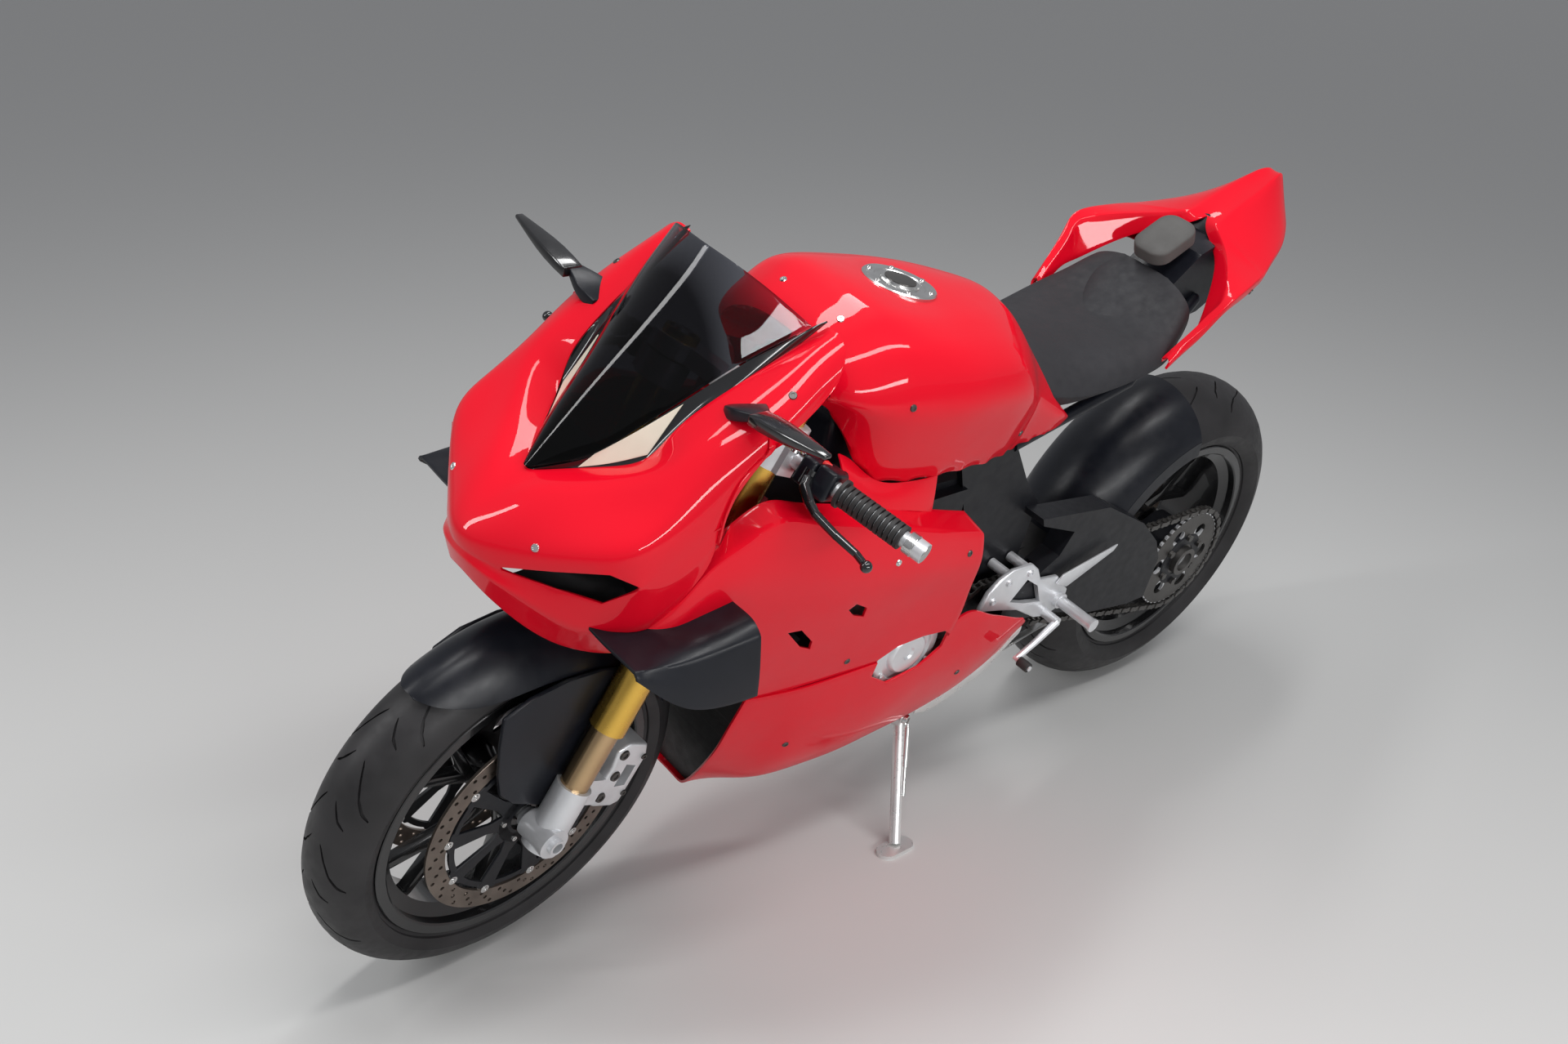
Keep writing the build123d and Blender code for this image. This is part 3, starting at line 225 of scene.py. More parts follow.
# %% Rubber and covers
rubber = finish(
    "rubber", (0.021, 0.020, 0.020), 0.62, shade=0.25, patch=22, grain=1500, depth=0.06,
)
tread_rubber = finish(
    "tread_rubber", (0.019, 0.018, 0.019), 0.5, shade=0.3, patch=16, grain=900, depth=0.1,
    Specular_IOR_Level=0.35,
)
seat_cover = finish(
    "seat_cover", (0.013, 0.013, 0.016), 0.72, shade=0.12, grain=1100, depth=0.25,
)
pad_cover = finish("pad_cover", (0.075, 0.073, 0.070), 0.7, shade=0.15, grain=900, depth=0.3)
print(len(bpy.data.materials), "finishes")

# %% [markdown]
# ### Metals
# Castings are rougher than turned parts. The fork's two golds are anodised aluminium above and a
# tinted hard coat below. The discs are browned by heat, and the rims are lacquered black.

# %% Metals
rim_black = finish(
    "rim_black", (0.014, 0.014, 0.015), 0.24, metal=0.3, coat=0.5, grain=700, depth=0.02,
)
cast_black = finish(
    "cast_black", (0.007, 0.0075, 0.010), 0.42, metal=0.1, grain=1100, depth=0.06,
    Specular_IOR_Level=0.35,
)
gold = finish("gold", (0.80, 0.50, 0.10), 0.26, metal=1.0, shade=0.04, grain=600, depth=0.01)
bronze = finish("bronze", (0.52, 0.36, 0.2), 0.22, metal=1.0, shade=0.1, grain=600, depth=0.01)
silver_cast = finish(
    "silver_cast", (0.72, 0.73, 0.75), 0.34, metal=0.6, shade=0.1, grain=800, depth=0.06,
)
silver_turned = finish(
    "silver_turned", (0.72, 0.72, 0.71), 0.24, metal=1.0, shade=0.07, grain=500, depth=0.01,
)
pale_shield = finish(
    "pale_shield", (0.74, 0.74, 0.73), 0.3, metal=0.6, shade=0.07, grain=400, depth=0.02,
)
dark_steel = finish(
    "dark_steel", (0.12, 0.115, 0.11), 0.42, metal=0.9, shade=0.2, grain=900, depth=0.04,
)
disc_steel = finish(
    "disc_steel", (0.2, 0.165, 0.14), 0.38, metal=0.9, shade=0.22, patch=30, grain=300, depth=0.03,
)
print(len(bpy.data.materials), "finishes")

# %% [markdown]
# ## From a bmesh to a piece
# Every piece takes the same road. A bmesh is a mesh in the making. It becomes an object, its
# modifiers are baked into its mesh, and the mesh is then carried to its place. The frame is told
# which body the piece rides and which plain solid it stands for.


# %% Objects, modifiers and places
def new_object(name, form, *finishes):
    """Turns a bmesh into an object in the scene."""
    mesh = bpy.data.meshes.new(name)
    form.to_mesh(mesh)
    form.free()
    for material in finishes:
        mesh.materials.append(material)
    made = bpy.data.objects.new(name, mesh)
    bpy.context.scene.collection.objects.link(made)
    return made


def modify(made, kind, **settings):
    modifier = made.modifiers.new(kind.lower(), kind)
    for key, value in settings.items():
        setattr(modifier, key, value)


def settle(made):
    """Bakes the modifiers into the mesh."""
    bpy.context.view_layer.update()
    shaped = made.evaluated_get(bpy.context.evaluated_depsgraph_get())
    mesh = bpy.data.meshes.new_from_object(shaped)
    made.modifiers.clear()
    made.data = mesh


def smooth(made, sharp_from=32):
    """Shades a piece smoothly, but keeps edges sharper than an angle."""
    made.data.shade_smooth()
    made.data.set_sharp_from_angle(angle=radians(sharp_from))


def mount(made, place, slot, *nodes):
    """Carries a finished mesh to its place, says what it rides and stands for; slot is not used."""
    where, body = place
    made.data.transform(where)
    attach(made, body)
    if nodes:
        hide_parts(*nodes)
    print(f"{made.name}: {len(made.data.polygons)} faces")


# %% [markdown]
# ## Moulded panels
# A fairing panel is a thin curved shell with a few sharp character lines. It could be carved from
# a block, but a subdivision surface needs far fewer points: a grid is made, its rows are laid on
# the panel's sections, and the character lines are creased. Only the left half is drawn, and the
# mirror operator adds the right one. Each half is turned so that it faces away from a point inside.


# %% A cage laid on rows of points
def face_away(form, faces, inside):
    """Turns a set of faces so that most of them look away from a point."""
    form.normal_update()
    look = sum(
        face.calc_area() * face.normal.dot(face.calc_center_median() - inside) for face in faces
    )
    if look < 0:
        bmesh.ops.reverse_faces(form, faces=faces)


def surface(rows, inside, ridges=None, holes=(), closed=False):
    """A mirrored grid laid on rows of points. ridges creases some columns, holes opens faces."""
    form = bmesh.new()
    columns = len(rows[0])
    grid = bmesh.ops.create_grid(form, x_segments=columns - 1, y_segments=len(rows) - 1, size=1)
    verts = grid["verts"]
    for vert, point in zip(verts, (point for row in rows for point in row)):
        vert.co = point
    crease = form.edges.layers.float.new("crease_edge")
    for column, sharpness in (ridges or {}).items():
        line = verts[column::columns]
        for pair in zip(line, line[1:]):
            form.edges.get(pair)[crease] = sharpness
    form.faces.ensure_lookup_table()
    gone = [form.faces[row * (columns - 1) + column] for row, column in holes]
    bmesh.ops.delete(form, geom=gone, context="FACES_ONLY")
    inside = Vector(inside)
    face_away(form, form.faces[:], inside)
    geometry = form.verts[:] + form.edges[:] + form.faces[:]
    bmesh.ops.mirror(form, geom=geometry, axis="Y", merge_dist=0.4)
    right = [face for face in form.faces if face.calc_center_median().y < 0]
    face_away(form, right, Vector((inside.x, -inside.y, inside.z)))
    if closed:
        rim_edges = [edge for edge in form.edges if edge.is_boundary]
        for edge in rim_edges:
            edge[crease] = 0.6
        bmesh.ops.holes_fill(form, edges=rim_edges)
        bmesh.ops.recalc_face_normals(form, faces=form.faces)
    return form


def sections(table):
    """Rows of points from a table {x: [(y, z), ...]}."""
    return [[(x, y, z) for y, z in row] for x, row in table.items()]


# %% [markdown]
# ### Points that hold
# A subdivided surface shrinks away from its cage, so a panel would come out smaller than drawn.
# The cage could be drawn too large by eye. Here it is measured: each point of the cage is pushed
# out by most of what the smooth surface is short of, three times over. A hole in the cage leaves
# its edges behind as loose wires. They hold the corners while the surface is smoothed, and go
# afterwards.


# %% Points that hold
def hold_points(made, passes=3, eagerness=0.7):
    """Pushes the cage out until the smooth surface runs through the points that were drawn."""
    drawn = [vert.co.copy() for vert in made.data.vertices]
    for _ in range(passes):
        bpy.context.view_layer.update()
        shaped = made.evaluated_get(bpy.context.evaluated_depsgraph_get()).data
        reached = [shaped.vertices[i].co.copy() for i in range(len(drawn))]
        for vert, goal, now in zip(made.data.vertices, drawn, reached):
            vert.co += (goal - now) * eagerness


def drop_wires(made):
    """Removes the edges that a hole in the cage has left without a face."""
    form = bmesh.new()
    form.from_mesh(made.data)
    wires = [edge for edge in form.edges if edge.is_wire]
    bmesh.ops.delete(form, geom=wires, context="EDGES")
    form.to_mesh(made.data)
    form.free()


# %% [markdown]
# ### Openings
# A slot or a window has a crisp outline that doesn't follow the cage's rows. It could be worked
# into the grid, at the price of bumps round it. A cutter is simpler: its outline is drawn from
# the side, pulled out to a solid, and taken away from the finished shell.


# %% Cutters
def prism(outline, start, end, form=None):
    """A side-view outline (x, z) as a solid between two distances to the left."""
    form = form or bmesh.new()
    face = form.faces.new([form.verts.new((x, start, z)) for x, z in outline])
    grown = bmesh.ops.extrude_face_region(form, geom=[face])
    moved = [part for part in grown["geom"] if isinstance(part, bmesh.types.BMVert)]
    bmesh.ops.translate(form, verts=moved, vec=(0, end - start, 0))
    bmesh.ops.recalc_face_normals(form, faces=form.faces)
    return form


def both_sides(outline, inner, outer):
    """A cutter that goes through the left and the right panel."""
    form = prism(outline, inner, outer)
    return prism(outline, -outer, -inner, form)


def cut(made, tool):
    """Cuts a bmesh tool out of an object, for good."""
    cutter = new_object("cutter", tool)
    modify(made, "BOOLEAN", object=cutter, operation="DIFFERENCE", solver="EXACT")
    settle(made)
    bpy.data.objects.remove(cutter)


# %% [markdown]
# ### From cage to panel
# The order of the steps matters. The cage is smoothed while it is still one thin sheet, then the
# wall is added on its inner side, so that the outside stays where it was drawn. Openings are cut
# through the wall, and last of all a small bevel rounds every rim, the new ones too.


# %% From cage to panel
def panel(name, form, finish_used, wall=4.0, levels=3, tools=(), rim=0.7):
    """Smooth shell from a cage: subdivided, thickened inwards, cut, and its rims softened."""
    made = new_object(name, form, finish_used)
    modify(
        made, "SUBSURF", levels=levels, render_levels=levels, boundary_smooth="PRESERVE_CORNERS",
    )
    hold_points(made)
    settle(made)
    drop_wires(made)
    if wall:
        modify(made, "SOLIDIFY", thickness=wall, offset=-1, use_even_offset=True)
        settle(made)
    for tool in tools:
        cut(made, tool)
    if rim:
        only_corners = radians(55)
        modify(
            made, "BEVEL", width=rim, segments=2, limit_method="ANGLE", angle_limit=only_corners,
        )
        settle(made)
    smooth(made)
    return made


# %% [markdown]
# ### The nose
# The nose wraps from the beak round both cheeks. Its columns run from the screen opening over the
# crest and the cheek down to the lip, and the band under the brow is left open as the air intake.

# %% Nose panel
# columns: screen opening, crest, cheek, shoulder, brow, intake's floor, lip, lower edge
nose_rows = [
    [(1490, 0, 846), (1528, 0, 822), (1556, 0, 802), (1577, 0, 780),
     (1578, 0, 760), (1577, 0, 754), (1577, 0, 744), (1568, 0, 716)],
    [(1470, 20, 851), (1506, 36, 842), (1534, 48, 820), (1551, 62, 788),
     (1554, 65, 757), (1553, 65, 752), (1562, 58, 736), (1556, 46, 700)],
    [(1446, 42, 860), (1470, 76, 860), (1490, 104, 840), (1516, 122, 810),
     (1520, 124, 780), (1507, 114, 744), (1526, 101, 714), (1516, 84, 662)],
    [(1416, 68, 871), (1434, 112, 880), (1446, 154, 860), (1474, 183, 836),
     (1483, 183, 804), (1474, 166, 746), (1490, 142, 694), (1474, 116, 640)],
    [(1386, 94, 888), (1400, 142, 904), (1410, 180, 884), (1432, 202, 846),
     (1452, 204, 790), (1452, 203, 784), (1450, 190, 716), (1438, 158, 650)],
    [(1366, 107, 922), (1372, 154, 929), (1378, 190, 904), (1388, 207, 862),
     (1398, 209, 816), (1402, 209, 786), (1408, 203, 734), (1420, 193, 696)],
    [(1340, 113, 952), (1344, 160, 951), (1348, 196, 924), (1350, 209, 886),
     (1354, 211, 850), (1356, 212, 825), (1357, 212, 806), (1358, 212, 788)],
    [(1296, 122, 984), (1302, 163, 979), (1312, 195, 956), (1322, 207, 926),
     (1333, 209, 900), (1339, 210, 882), (1344, 210, 868), (1350, 211, 852)],
    [(1250, 130, 1013), (1252, 166, 1011), (1258, 194, 993), (1270, 205, 971),
     (1284, 208, 950), (1296, 208, 940), (1308, 208, 932), (1322, 208, 926)],
    [(1210, 136, 1038), (1211, 165, 1038), (1214, 187, 1024), (1220, 198, 1006),
     (1226, 201, 994), (1232, 203, 984), (1238, 204, 976), (1246, 205, 968)],
    [(1170, 142, 1060), (1171, 163, 1061), (1173, 179, 1053), (1177, 189, 1041),
     (1181, 193, 1033), (1185, 196, 1025), (1189, 198, 1018), (1194, 200, 1011)],
]
brow, intake_floor, lip = 4, 5, 6  # columns
nose_cage = surface(
    nose_rows, inside=(1380, 20, 780), ridges={1: 0.25, brow: 0.9, intake_floor: 0.9, lip: 0.6},
    holes=[(row, brow) for row in (1, 2, 3)],
)
nose = panel("nose_panel", nose_cage, red_paint)
mount(nose, on_chassis, "nose_fairing", "nose_fairing")

# %% [markdown]
# Behind the intake a dull black duct swallows the light, so that nothing of the inside shows. It
# borrows the opening's own points, which makes it fit however the nose is changed.

# %% Duct behind the intake
deep = Vector((-58, -16, -18))
duct_rows = []
for row in nose_rows[1:6]:
    top, bottom = Vector(row[brow]), Vector(row[intake_floor])
    duct_rows.append([
        top + Vector((-7, -5, 8)),
        top.lerp(bottom, 0.4) + deep,
        bottom + Vector((-30, -12, -20)),
        bottom + Vector((-6, -7, -9)),
    ])
duct = panel(
    "intake_duct", surface(duct_rows, inside=(1300, 60, 760)), core_black, wall=2.0, rim=0,
)
mount(duct, on_chassis, "intake_liners")

# %% [markdown]
# ### Side panels
# The side panel hangs between the winglet and the rider's knee. Its two slots let hot air out,
# and the lens-shaped window shows the round engine cover. Both sides are the same.

# %% Side panels
side_table = {  # x: top flange, shoulder, widest, upper flank, lower flank, seam
    1390: [(186, 743), (206, 738), (212, 715), (206, 687), (197, 662), (187, 640)],
    1350: [(180, 789), (208, 784), (216, 745), (209, 692), (193, 648), (175, 605)],
    1300: [(172, 812), (209, 806), (219, 750), (210, 678), (190, 618), (167, 562)],
    1240: [(168, 835), (209, 828), (221, 755), (212, 665), (190, 585), (164, 517)],
    1180: [(167, 816), (210, 808), (223, 735), (212, 645), (190, 555), (161, 471)],
    1100: [(166, 792), (211, 783), (224, 712), (212, 627), (194, 547), (176, 471)],
    1020: [(165, 767), (211, 756), (223, 690), (211, 612), (197, 540), (183, 471)],
    940: [(163, 740), (211, 728), (222, 665), (209, 600), (198, 535), (188, 471)],
    860: [(161, 713), (208, 700), (218, 645), (207, 585), (198, 528), (191, 471)],
}
side_front = [
    (1425, 190, 708), (1426, 194, 704), (1426, 196, 700), (1424, 195, 694), (1420, 194, 688),
    (1416, 192, 680),
]
side_rear = [
    (800, 160, 694), (799, 206, 682), (795, 215, 636), (789, 207, 578), (780, 200, 524),
    (784, 194, 471),
]
slots = [
    [(1176, 626), (1150, 622), (1114, 584), (1110, 566), (1134, 580)],
    [(1070, 634), (1058, 642), (1030, 624), (1027, 604), (1052, 616)],
]
window = [
    (938, 440), (936, 474), (902, 492), (850, 494), (800, 488), (784, 476), (788, 448), (832, 422),
    (896, 412),
]
side_cage = surface(
    [side_front, *sections(side_table), side_rear], inside=(1100, 60, 620),
    ridges={1: 0.7, 2: 0.15},
)
tools = [both_sides(outline, 150, 260) for outline in (*slots, window)]
side_panels = panel("side_panels", side_cage, red_paint, tools=tools)
mount(side_panels, on_chassis, "side_fairings", "side_fairings")

# %% [markdown]
# ### Belly panels
# The belly panel carries on below the side panels' seam and closes in under the engine. Its rear
# rises to a point in front of the wheel. The window's lower half is cut from it with the same
# outline, and the left side has a gap for the stand.

# %% Belly panels
belly_table = {  # x: seam, flank, turn, underside, floor's edge, middle of the floor
    1100: [(179, 469), (160, 386), (139, 310), (101, 234), (42, 182), (0, 176)],
    1050: [(184, 469), (171, 380), (151, 292), (111, 216), (44, 178), (0, 173)],
    975: [(188, 469), (177, 374), (157, 286), (117, 212), (46, 179), (0, 174)],
    900: [(191, 469), (181, 370), (161, 284), (121, 212), (50, 182), (0, 177)],
    825: [(193, 469), (183, 374), (161, 290), (123, 218), (58, 188), (0, 183)],
}
belly_front = [
    (1176, 163, 469), (1180, 148, 405), (1174, 128, 345), (1162, 92, 268), (1142, 42, 186),
    (1138, 0, 178),
]
belly_rear = [
    [(752, 190, 504), (752, 184, 390), (750, 160, 296),
     (746, 126, 226), (742, 68, 194), (742, 0, 190)],
    [(690, 189, 478), (684, 181, 384), (676, 162, 306),
     (668, 134, 252), (664, 84, 222), (664, 0, 220)],
    [(643, 184, 455), (636, 177, 378), (630, 158, 312),
     (624, 136, 270), (618, 92, 242), (618, 0, 240)],
    [(600, 181, 434), (592, 176, 392), (590, 158, 330),
     (596, 140, 288), (600, 104, 256), (600, 0, 254)],
    [(561, 178, 416), (545, 171, 398), (550, 160, 366),
     (571, 146, 310), (588, 116, 276), (588, 0, 272)],
]
floor_gap = [(row, 4) for row in range(6, 10)]  # the floor ends behind the sump
stand_gap = [(694, 148), (770, 148), (770, 232), (694, 232)]
belly_cage = surface(
    [belly_front, *sections(belly_table), *belly_rear], inside=(900, 20, 420),
    ridges={2: 0.35, 4: 0.3}, holes=floor_gap,
)
tools = [both_sides(window, 130, 260), prism(stand_gap, 72, 136)]
belly = panel("belly_panels", belly_cage, red_paint, tools=tools)
mount(belly, on_chassis, "belly_fairings", "belly_fairings")

# %% [markdown]
# ### Skirts
# A narrow painted skirt on each side closes the step between the tank's lower edge and the side
# panel's flange. It is hardly curved, so three columns of points are enough.

# %% Skirts between tank and side panels
skirt_table = {  # x: under the tank's edge, middle, inside the side panel's flange
    1085: [(138, 852), (156, 826), (170, 786)],
    1050: [(136, 830), (158, 806), (170, 772)],
    1010: [(152, 797), (163, 780), (171, 760)],
    950: [(156, 783), (165, 764), (171, 742)],
    905: [(157, 778), (164, 752), (169, 726)],
    884: [(156, 780), (162, 746), (166, 712)],
}
skirts = panel(
    "tank_skirts", surface(sections(skirt_table), inside=(1000, 0, 780)), red_paint, wall=3.0,
)
mount(skirts, on_chassis, "side_fairings")

# %% [markdown]
# ### Tank
# The tank is broad and flat round its cap, pulled in for the knees, and runs out into a skirt
# under the seat. It is one closed form, so its cage is closed at the bottom and needs no wall.

# %% Fuel tank
tank_table = {  # x: centre, top, top's edge, shoulder, upper flank, widest, lower edge
    1108: [(0, 980), (36, 978), (64, 972), (92, 960), (110, 944), (114, 928), (98, 912)],
    1090: [(0, 1000), (44, 998), (80, 990), (112, 976), (138, 952), (144, 926), (112, 898)],
    1050: [(0, 1017), (50, 1015), (92, 1008), (130, 990), (157, 958), (167, 915), (134, 830)],
    1010: [(0, 1028), (52, 1026), (98, 1020), (140, 1001), (168, 964), (180, 912), (150, 796)],
    950: [(0, 1020), (52, 1018), (100, 1013), (146, 995), (176, 960), (188, 905), (154, 782)],
    890: [(0, 1008), (50, 1007), (100, 1002), (148, 985), (180, 954), (191, 900), (156, 775)],
    830: [(0, 1002), (46, 1000), (94, 994), (140, 977), (175, 948), (187, 895), (153, 770)],
    770: [(0, 993), (42, 990), (86, 982), (132, 963), (167, 936), (179, 888), (150, 765)],
    720: [(0, 982), (36, 978), (72, 968), (114, 946), (149, 912), (165, 868), (142, 763)],
    690: [(0, 968), (30, 964), (62, 954), (100, 930), (134, 894), (152, 850), (134, 762)],
    650: [(0, 934), (26, 930), (52, 921), (86, 898), (118, 868), (144, 832), (131, 765)],
    610: [(0, 892), (24, 889), (46, 882), (78, 864), (110, 842), (137, 810), (129, 768)],
    575: [(0, 850), (18, 846), (34, 838), (70, 826), (104, 812), (130, 796), (122, 767)],
    548: [(0, 806), (16, 804), (34, 800), (66, 795), (92, 790), (118, 782), (112, 766)],
}
tank_cage = surface(
    sections(tank_table), inside=(850, 0, 860), ridges={2: 0.2, 3: 0.3, 5: 0.35}, closed=True,
)
tank = panel("tank", tank_cage, red_paint, wall=0, rim=0)
mount(tank, on_chassis, "fuel_tank", "fuel_tank")

# %% [markdown]
# ### Seat
# The seat is a thin firm pad of foam on a stiff base. It widens to the rear and turns up there
# against the tail. Such a pad hardly swells, so its crown and its tucked lower edge are drawn.

# %% Seat
seat_table = {  # x: centre, top, top's edge, shoulder, edge, underside
    650: [(0, 893), (28, 892), (56, 886), (88, 862), (106, 834), (100, 806)],
    600: [(0, 888), (36, 887), (70, 880), (102, 855), (120, 828), (108, 802)],
    550: [(0, 880), (40, 879), (80, 873), (113, 850), (131, 824), (112, 800)],
    490: [(0, 878), (44, 878), (90, 872), (124, 852), (138, 827), (114, 803)],
    430: [(0, 882), (48, 882), (100, 877), (131, 860), (143, 838), (116, 812)],
    370: [(0, 892), (50, 892), (106, 888), (134, 872), (141, 848), (114, 820)],
    330: [(0, 914), (50, 913), (104, 904), (127, 885), (130, 858), (108, 832)],
    300: [(0, 940), (48, 939), (100, 923), (117, 899), (116, 868), (100, 842)],
    283: [(0, 951), (46, 951), (97, 931), (111, 902), (108, 868), (94, 846)],
}
seat_cage = surface(sections(seat_table), inside=(450, 0, 840), ridges={4: 0.5}, closed=True)
seat = panel("seat", seat_cage, seat_cover, wall=0, rim=0)
mount(seat, on_chassis, "rider_seat", "rider_seat")

# %% [markdown]
# ### Tail
# The tail is a painted ring round a black core: two flat arms that rise, meet behind the rider and
# end in a raised point. The creased columns are the hole's rim and the outer corner.

# %% Tail cowl
tail_table = {  # x: hole's edge inside, hole's rim, outer corner, flank, lower edge
    368: [(134, 850), (137, 862), (146, 869), (154, 862), (153, 850)],
    345: [(136, 868), (143, 890), (155, 897), (159, 884), (154, 869)],
    320: [(139, 886), (148, 916), (162, 922), (163, 904), (155, 888)],
    300: [(136, 896), (152, 942), (168, 949), (167, 930), (156, 911)],
    278: [(128, 908), (154, 965), (172, 971), (169, 952), (156, 932)],
    230: [(98, 948), (118, 986), (163, 981), (160, 958), (140, 935)],
    182: [(58, 982), (70, 1004), (150, 986), (147, 962), (122, 934)],
    168: [(14, 1010), (34, 1022), (146, 987), (142, 962), (115, 931)],
    150: [(0, 1026), (33, 1029), (139, 989), (136, 963), (107, 930)],
    100: [(0, 1051), (29, 1052), (118, 999), (114, 970), (86, 937)],
    39: [(0, 1074), (25, 1075), (92, 1009), (89, 977), (62, 945)],
    -14: [(0, 1092), (14, 1093), (54, 1025), (59, 984), (42, 960)],
    -40: [(0, 1068), (8, 1066), (30, 1016), (34, 988), (24, 968)],
}
tail_cage = surface(sections(tail_table), inside=(160, 60, 930), ridges={1: 0.8, 2: 0.8})
tail = panel("tail_ring", tail_cage, red_paint)
mount(tail, on_chassis, "tail_cowl", "tail_cowl")

# %% [markdown]
# ### Screen
# The screen is a smoked bubble, darkest in front and clear at the rider's end. Its shape comes
# from a curve for the centre line, one for the edge, and a bulge between the two, so that five
# numbers a row are enough. The smoke is a ramp along the machine on a shader that lets light
# through.

# %% Shape of the screen
screen_lines = [  # centre line: x, z; edge: x, y, z
    ((1492, 850), (1484, 10, 852)),
    ((1466, 884), (1455, 32, 866)),
    ((1436, 922), (1424, 52, 884)),
    ((1398, 968), (1380, 70, 920)),
    ((1356, 1018), (1330, 92, 966)),
    ((1314, 1070), (1276, 114, 1014)),
    ((1290, 1101), (1236, 128, 1040)),
    ((1274, 1124), (1196, 140, 1064)),
]
screen_rows = []
for (centre_x, centre_z), (edge_x, edge_y, edge_z) in screen_lines:
    fall_x, fall_z = edge_x - centre_x, edge_z - centre_z
    screen_rows.append([
        (centre_x + fall_x * t**2, edge_y * t, centre_z + fall_z * t**2.3)
        for t in (0.0, 0.3, 0.55, 0.78, 1.0)
    ])
print("screen:", len(screen_rows), "rows")

# %% Smoked screen
smoke, tree, shader, place = new_material("smoked_screen")
for socket, number in {"Transmission Weight": 1.0, "Roughness": 0.02, "IOR": 1.3}.items():
    shader.inputs[socket].default_value = number
split = tree.nodes.new("ShaderNodeSeparateXYZ")
fade = tree.nodes.new("ShaderNodeMapRange")
fade.inputs["From Min"].default_value = 0.59  # dark from here forwards, in metres
fade.inputs["From Max"].default_value = 0.47  # clear from here back
smoke_ramp = tree.nodes.new("ShaderNodeValToRGB")
smoke_ramp.color_ramp.elements[0].color = (0.012, 0.012, 0.016, 1)
smoke_ramp.color_ramp.elements[1].color = (0.62, 0.64, 0.74, 1)
link(tree, place, split.inputs["Vector"])
link(tree, split.outputs["X"], fade.inputs["Value"])
link(tree, fade.outputs["Result"], smoke_ramp.inputs["Fac"])
link(tree, smoke_ramp.outputs["Color"], shader.inputs["Base Color"])
screen = panel("screen", surface(screen_rows, inside=(1340, 10, 930)), smoke, wall=3.0, rim=0.6)
mount(screen, on_chassis, "windscreen", "windscreen")

# %% [markdown]
# ### The screen's surround
# A black band fills the space between the screen's edge and the nose's opening, and a pale panel
# lies on it to each side of the screen's foot. Both borrow the points of their neighbours, so no
# gap opens between them.

# %% Surround
rearmost = (1172, 142, 1070)
edges = [Vector(edge) for _, edge in screen_lines] + [Vector(rearmost)]
surround_rows = []
for row, start in zip(nose_rows, edges):
    end = Vector(row[0])
    surround_rows.append([
        start + Vector((0, 0, -3)),
        start.lerp(end, 0.5) + Vector((0, 0, -5)),
        end + Vector((0, 0, -3)),
    ])
surround_cage = surface(surround_rows, inside=(1340, 0, 880))
surround = panel("screen_surround", surround_cage, gloss_black, wall=2.5, rim=0.4)
mount(surround, on_chassis, "screen_side_panels", "screen_side_panels")

# %% Pale side panels
pale_rows = []
for row in surround_rows[2:5]:
    low, high = row[2] + Vector((0, 0, 1.8)), row[0] + Vector((0, 0, 3.4))
    pale_rows.append([high.lerp(low, share) for share in (0.12, 0.5, 0.9)])
pale_cage = surface(pale_rows, inside=(1340, 0, 860))
pale = panel("pale_side_panels", pale_cage, beige_panel, wall=2.0, rim=0.3)
mount(pale, on_chassis, "screen_side_panels")

# %% [markdown]
# ### Winglets
# A winglet presses the front wheel down at speed. Each leaves the cheek nearly level, dips, and
# folds down into an upright end plate. The fold is one creased column of an open sheet.

# %% Winglets
winglet_table = {  # x: root, dip, outer top, fold, plate, lower edge
    1480: [(150, 706), (190, 705), (230, 707), (254, 708), (260, 704), (263, 698)],
    1440: [(150, 711), (196, 708), (240, 710), (262, 706), (272, 684), (277, 664)],
    1400: [(160, 718), (204, 712), (246, 714), (268, 706), (282, 670), (288, 642)],
    1350: [(170, 728), (210, 720), (252, 722), (274, 712), (288, 668), (294, 634)],
    1305: [(178, 738), (214, 730), (256, 732), (279, 718), (291, 672), (297, 634)],
}
winglet_cage = surface(sections(winglet_table), inside=(1390, 150, 640), ridges={3: 0.85})
winglets = panel("winglet_pair", winglet_cage, black_plastic, wall=5.0, rim=1.2)
mount(winglets, on_chassis, "winglets", "winglets")

# %% [markdown]
# ## Wheels
# Tyres, rims and discs are turned shapes. A section drawn as (across, radius) is spun about the
# axle, which gives clean rings of faces. Spokes, holes, tread and teeth break that symmetry, so
# each is made once and repeated round the axle.


# %% Turning and repeating
def lathe(profile, steps=96, form=None, centre=(0, 0, 0), closed=False):
    """Spins a section of (across, radius) points about an axle that points to the left."""
    form = form or bmesh.new()
    before = set(form.faces)
    cx, cy, cz = centre
    verts = [form.verts.new((cx, cy + y, cz + radius)) for y, radius in profile]
    pairs = list(zip(verts, verts[1:])) + ([(verts[-1], verts[0])] if closed else [])
    edges = [form.edges.new(pair) for pair in pairs]
    bmesh.ops.spin(
        form, geom=verts + edges, cent=centre, axis=(0, 1, 0), angle=2 * pi, steps=steps,
        use_merge=True,
    )
    spun = {vert for face in form.faces if face not in before for vert in face.verts}
    bmesh.ops.remove_doubles(form, verts=list(spun), dist=0.001)
    bmesh.ops.recalc_face_normals(form, faces=form.faces)
    return form


def other_half(profile):
    """The right-hand half of a section, from its far end back to the middle."""
    return [(-y, radius) for y, radius in reversed(profile)]


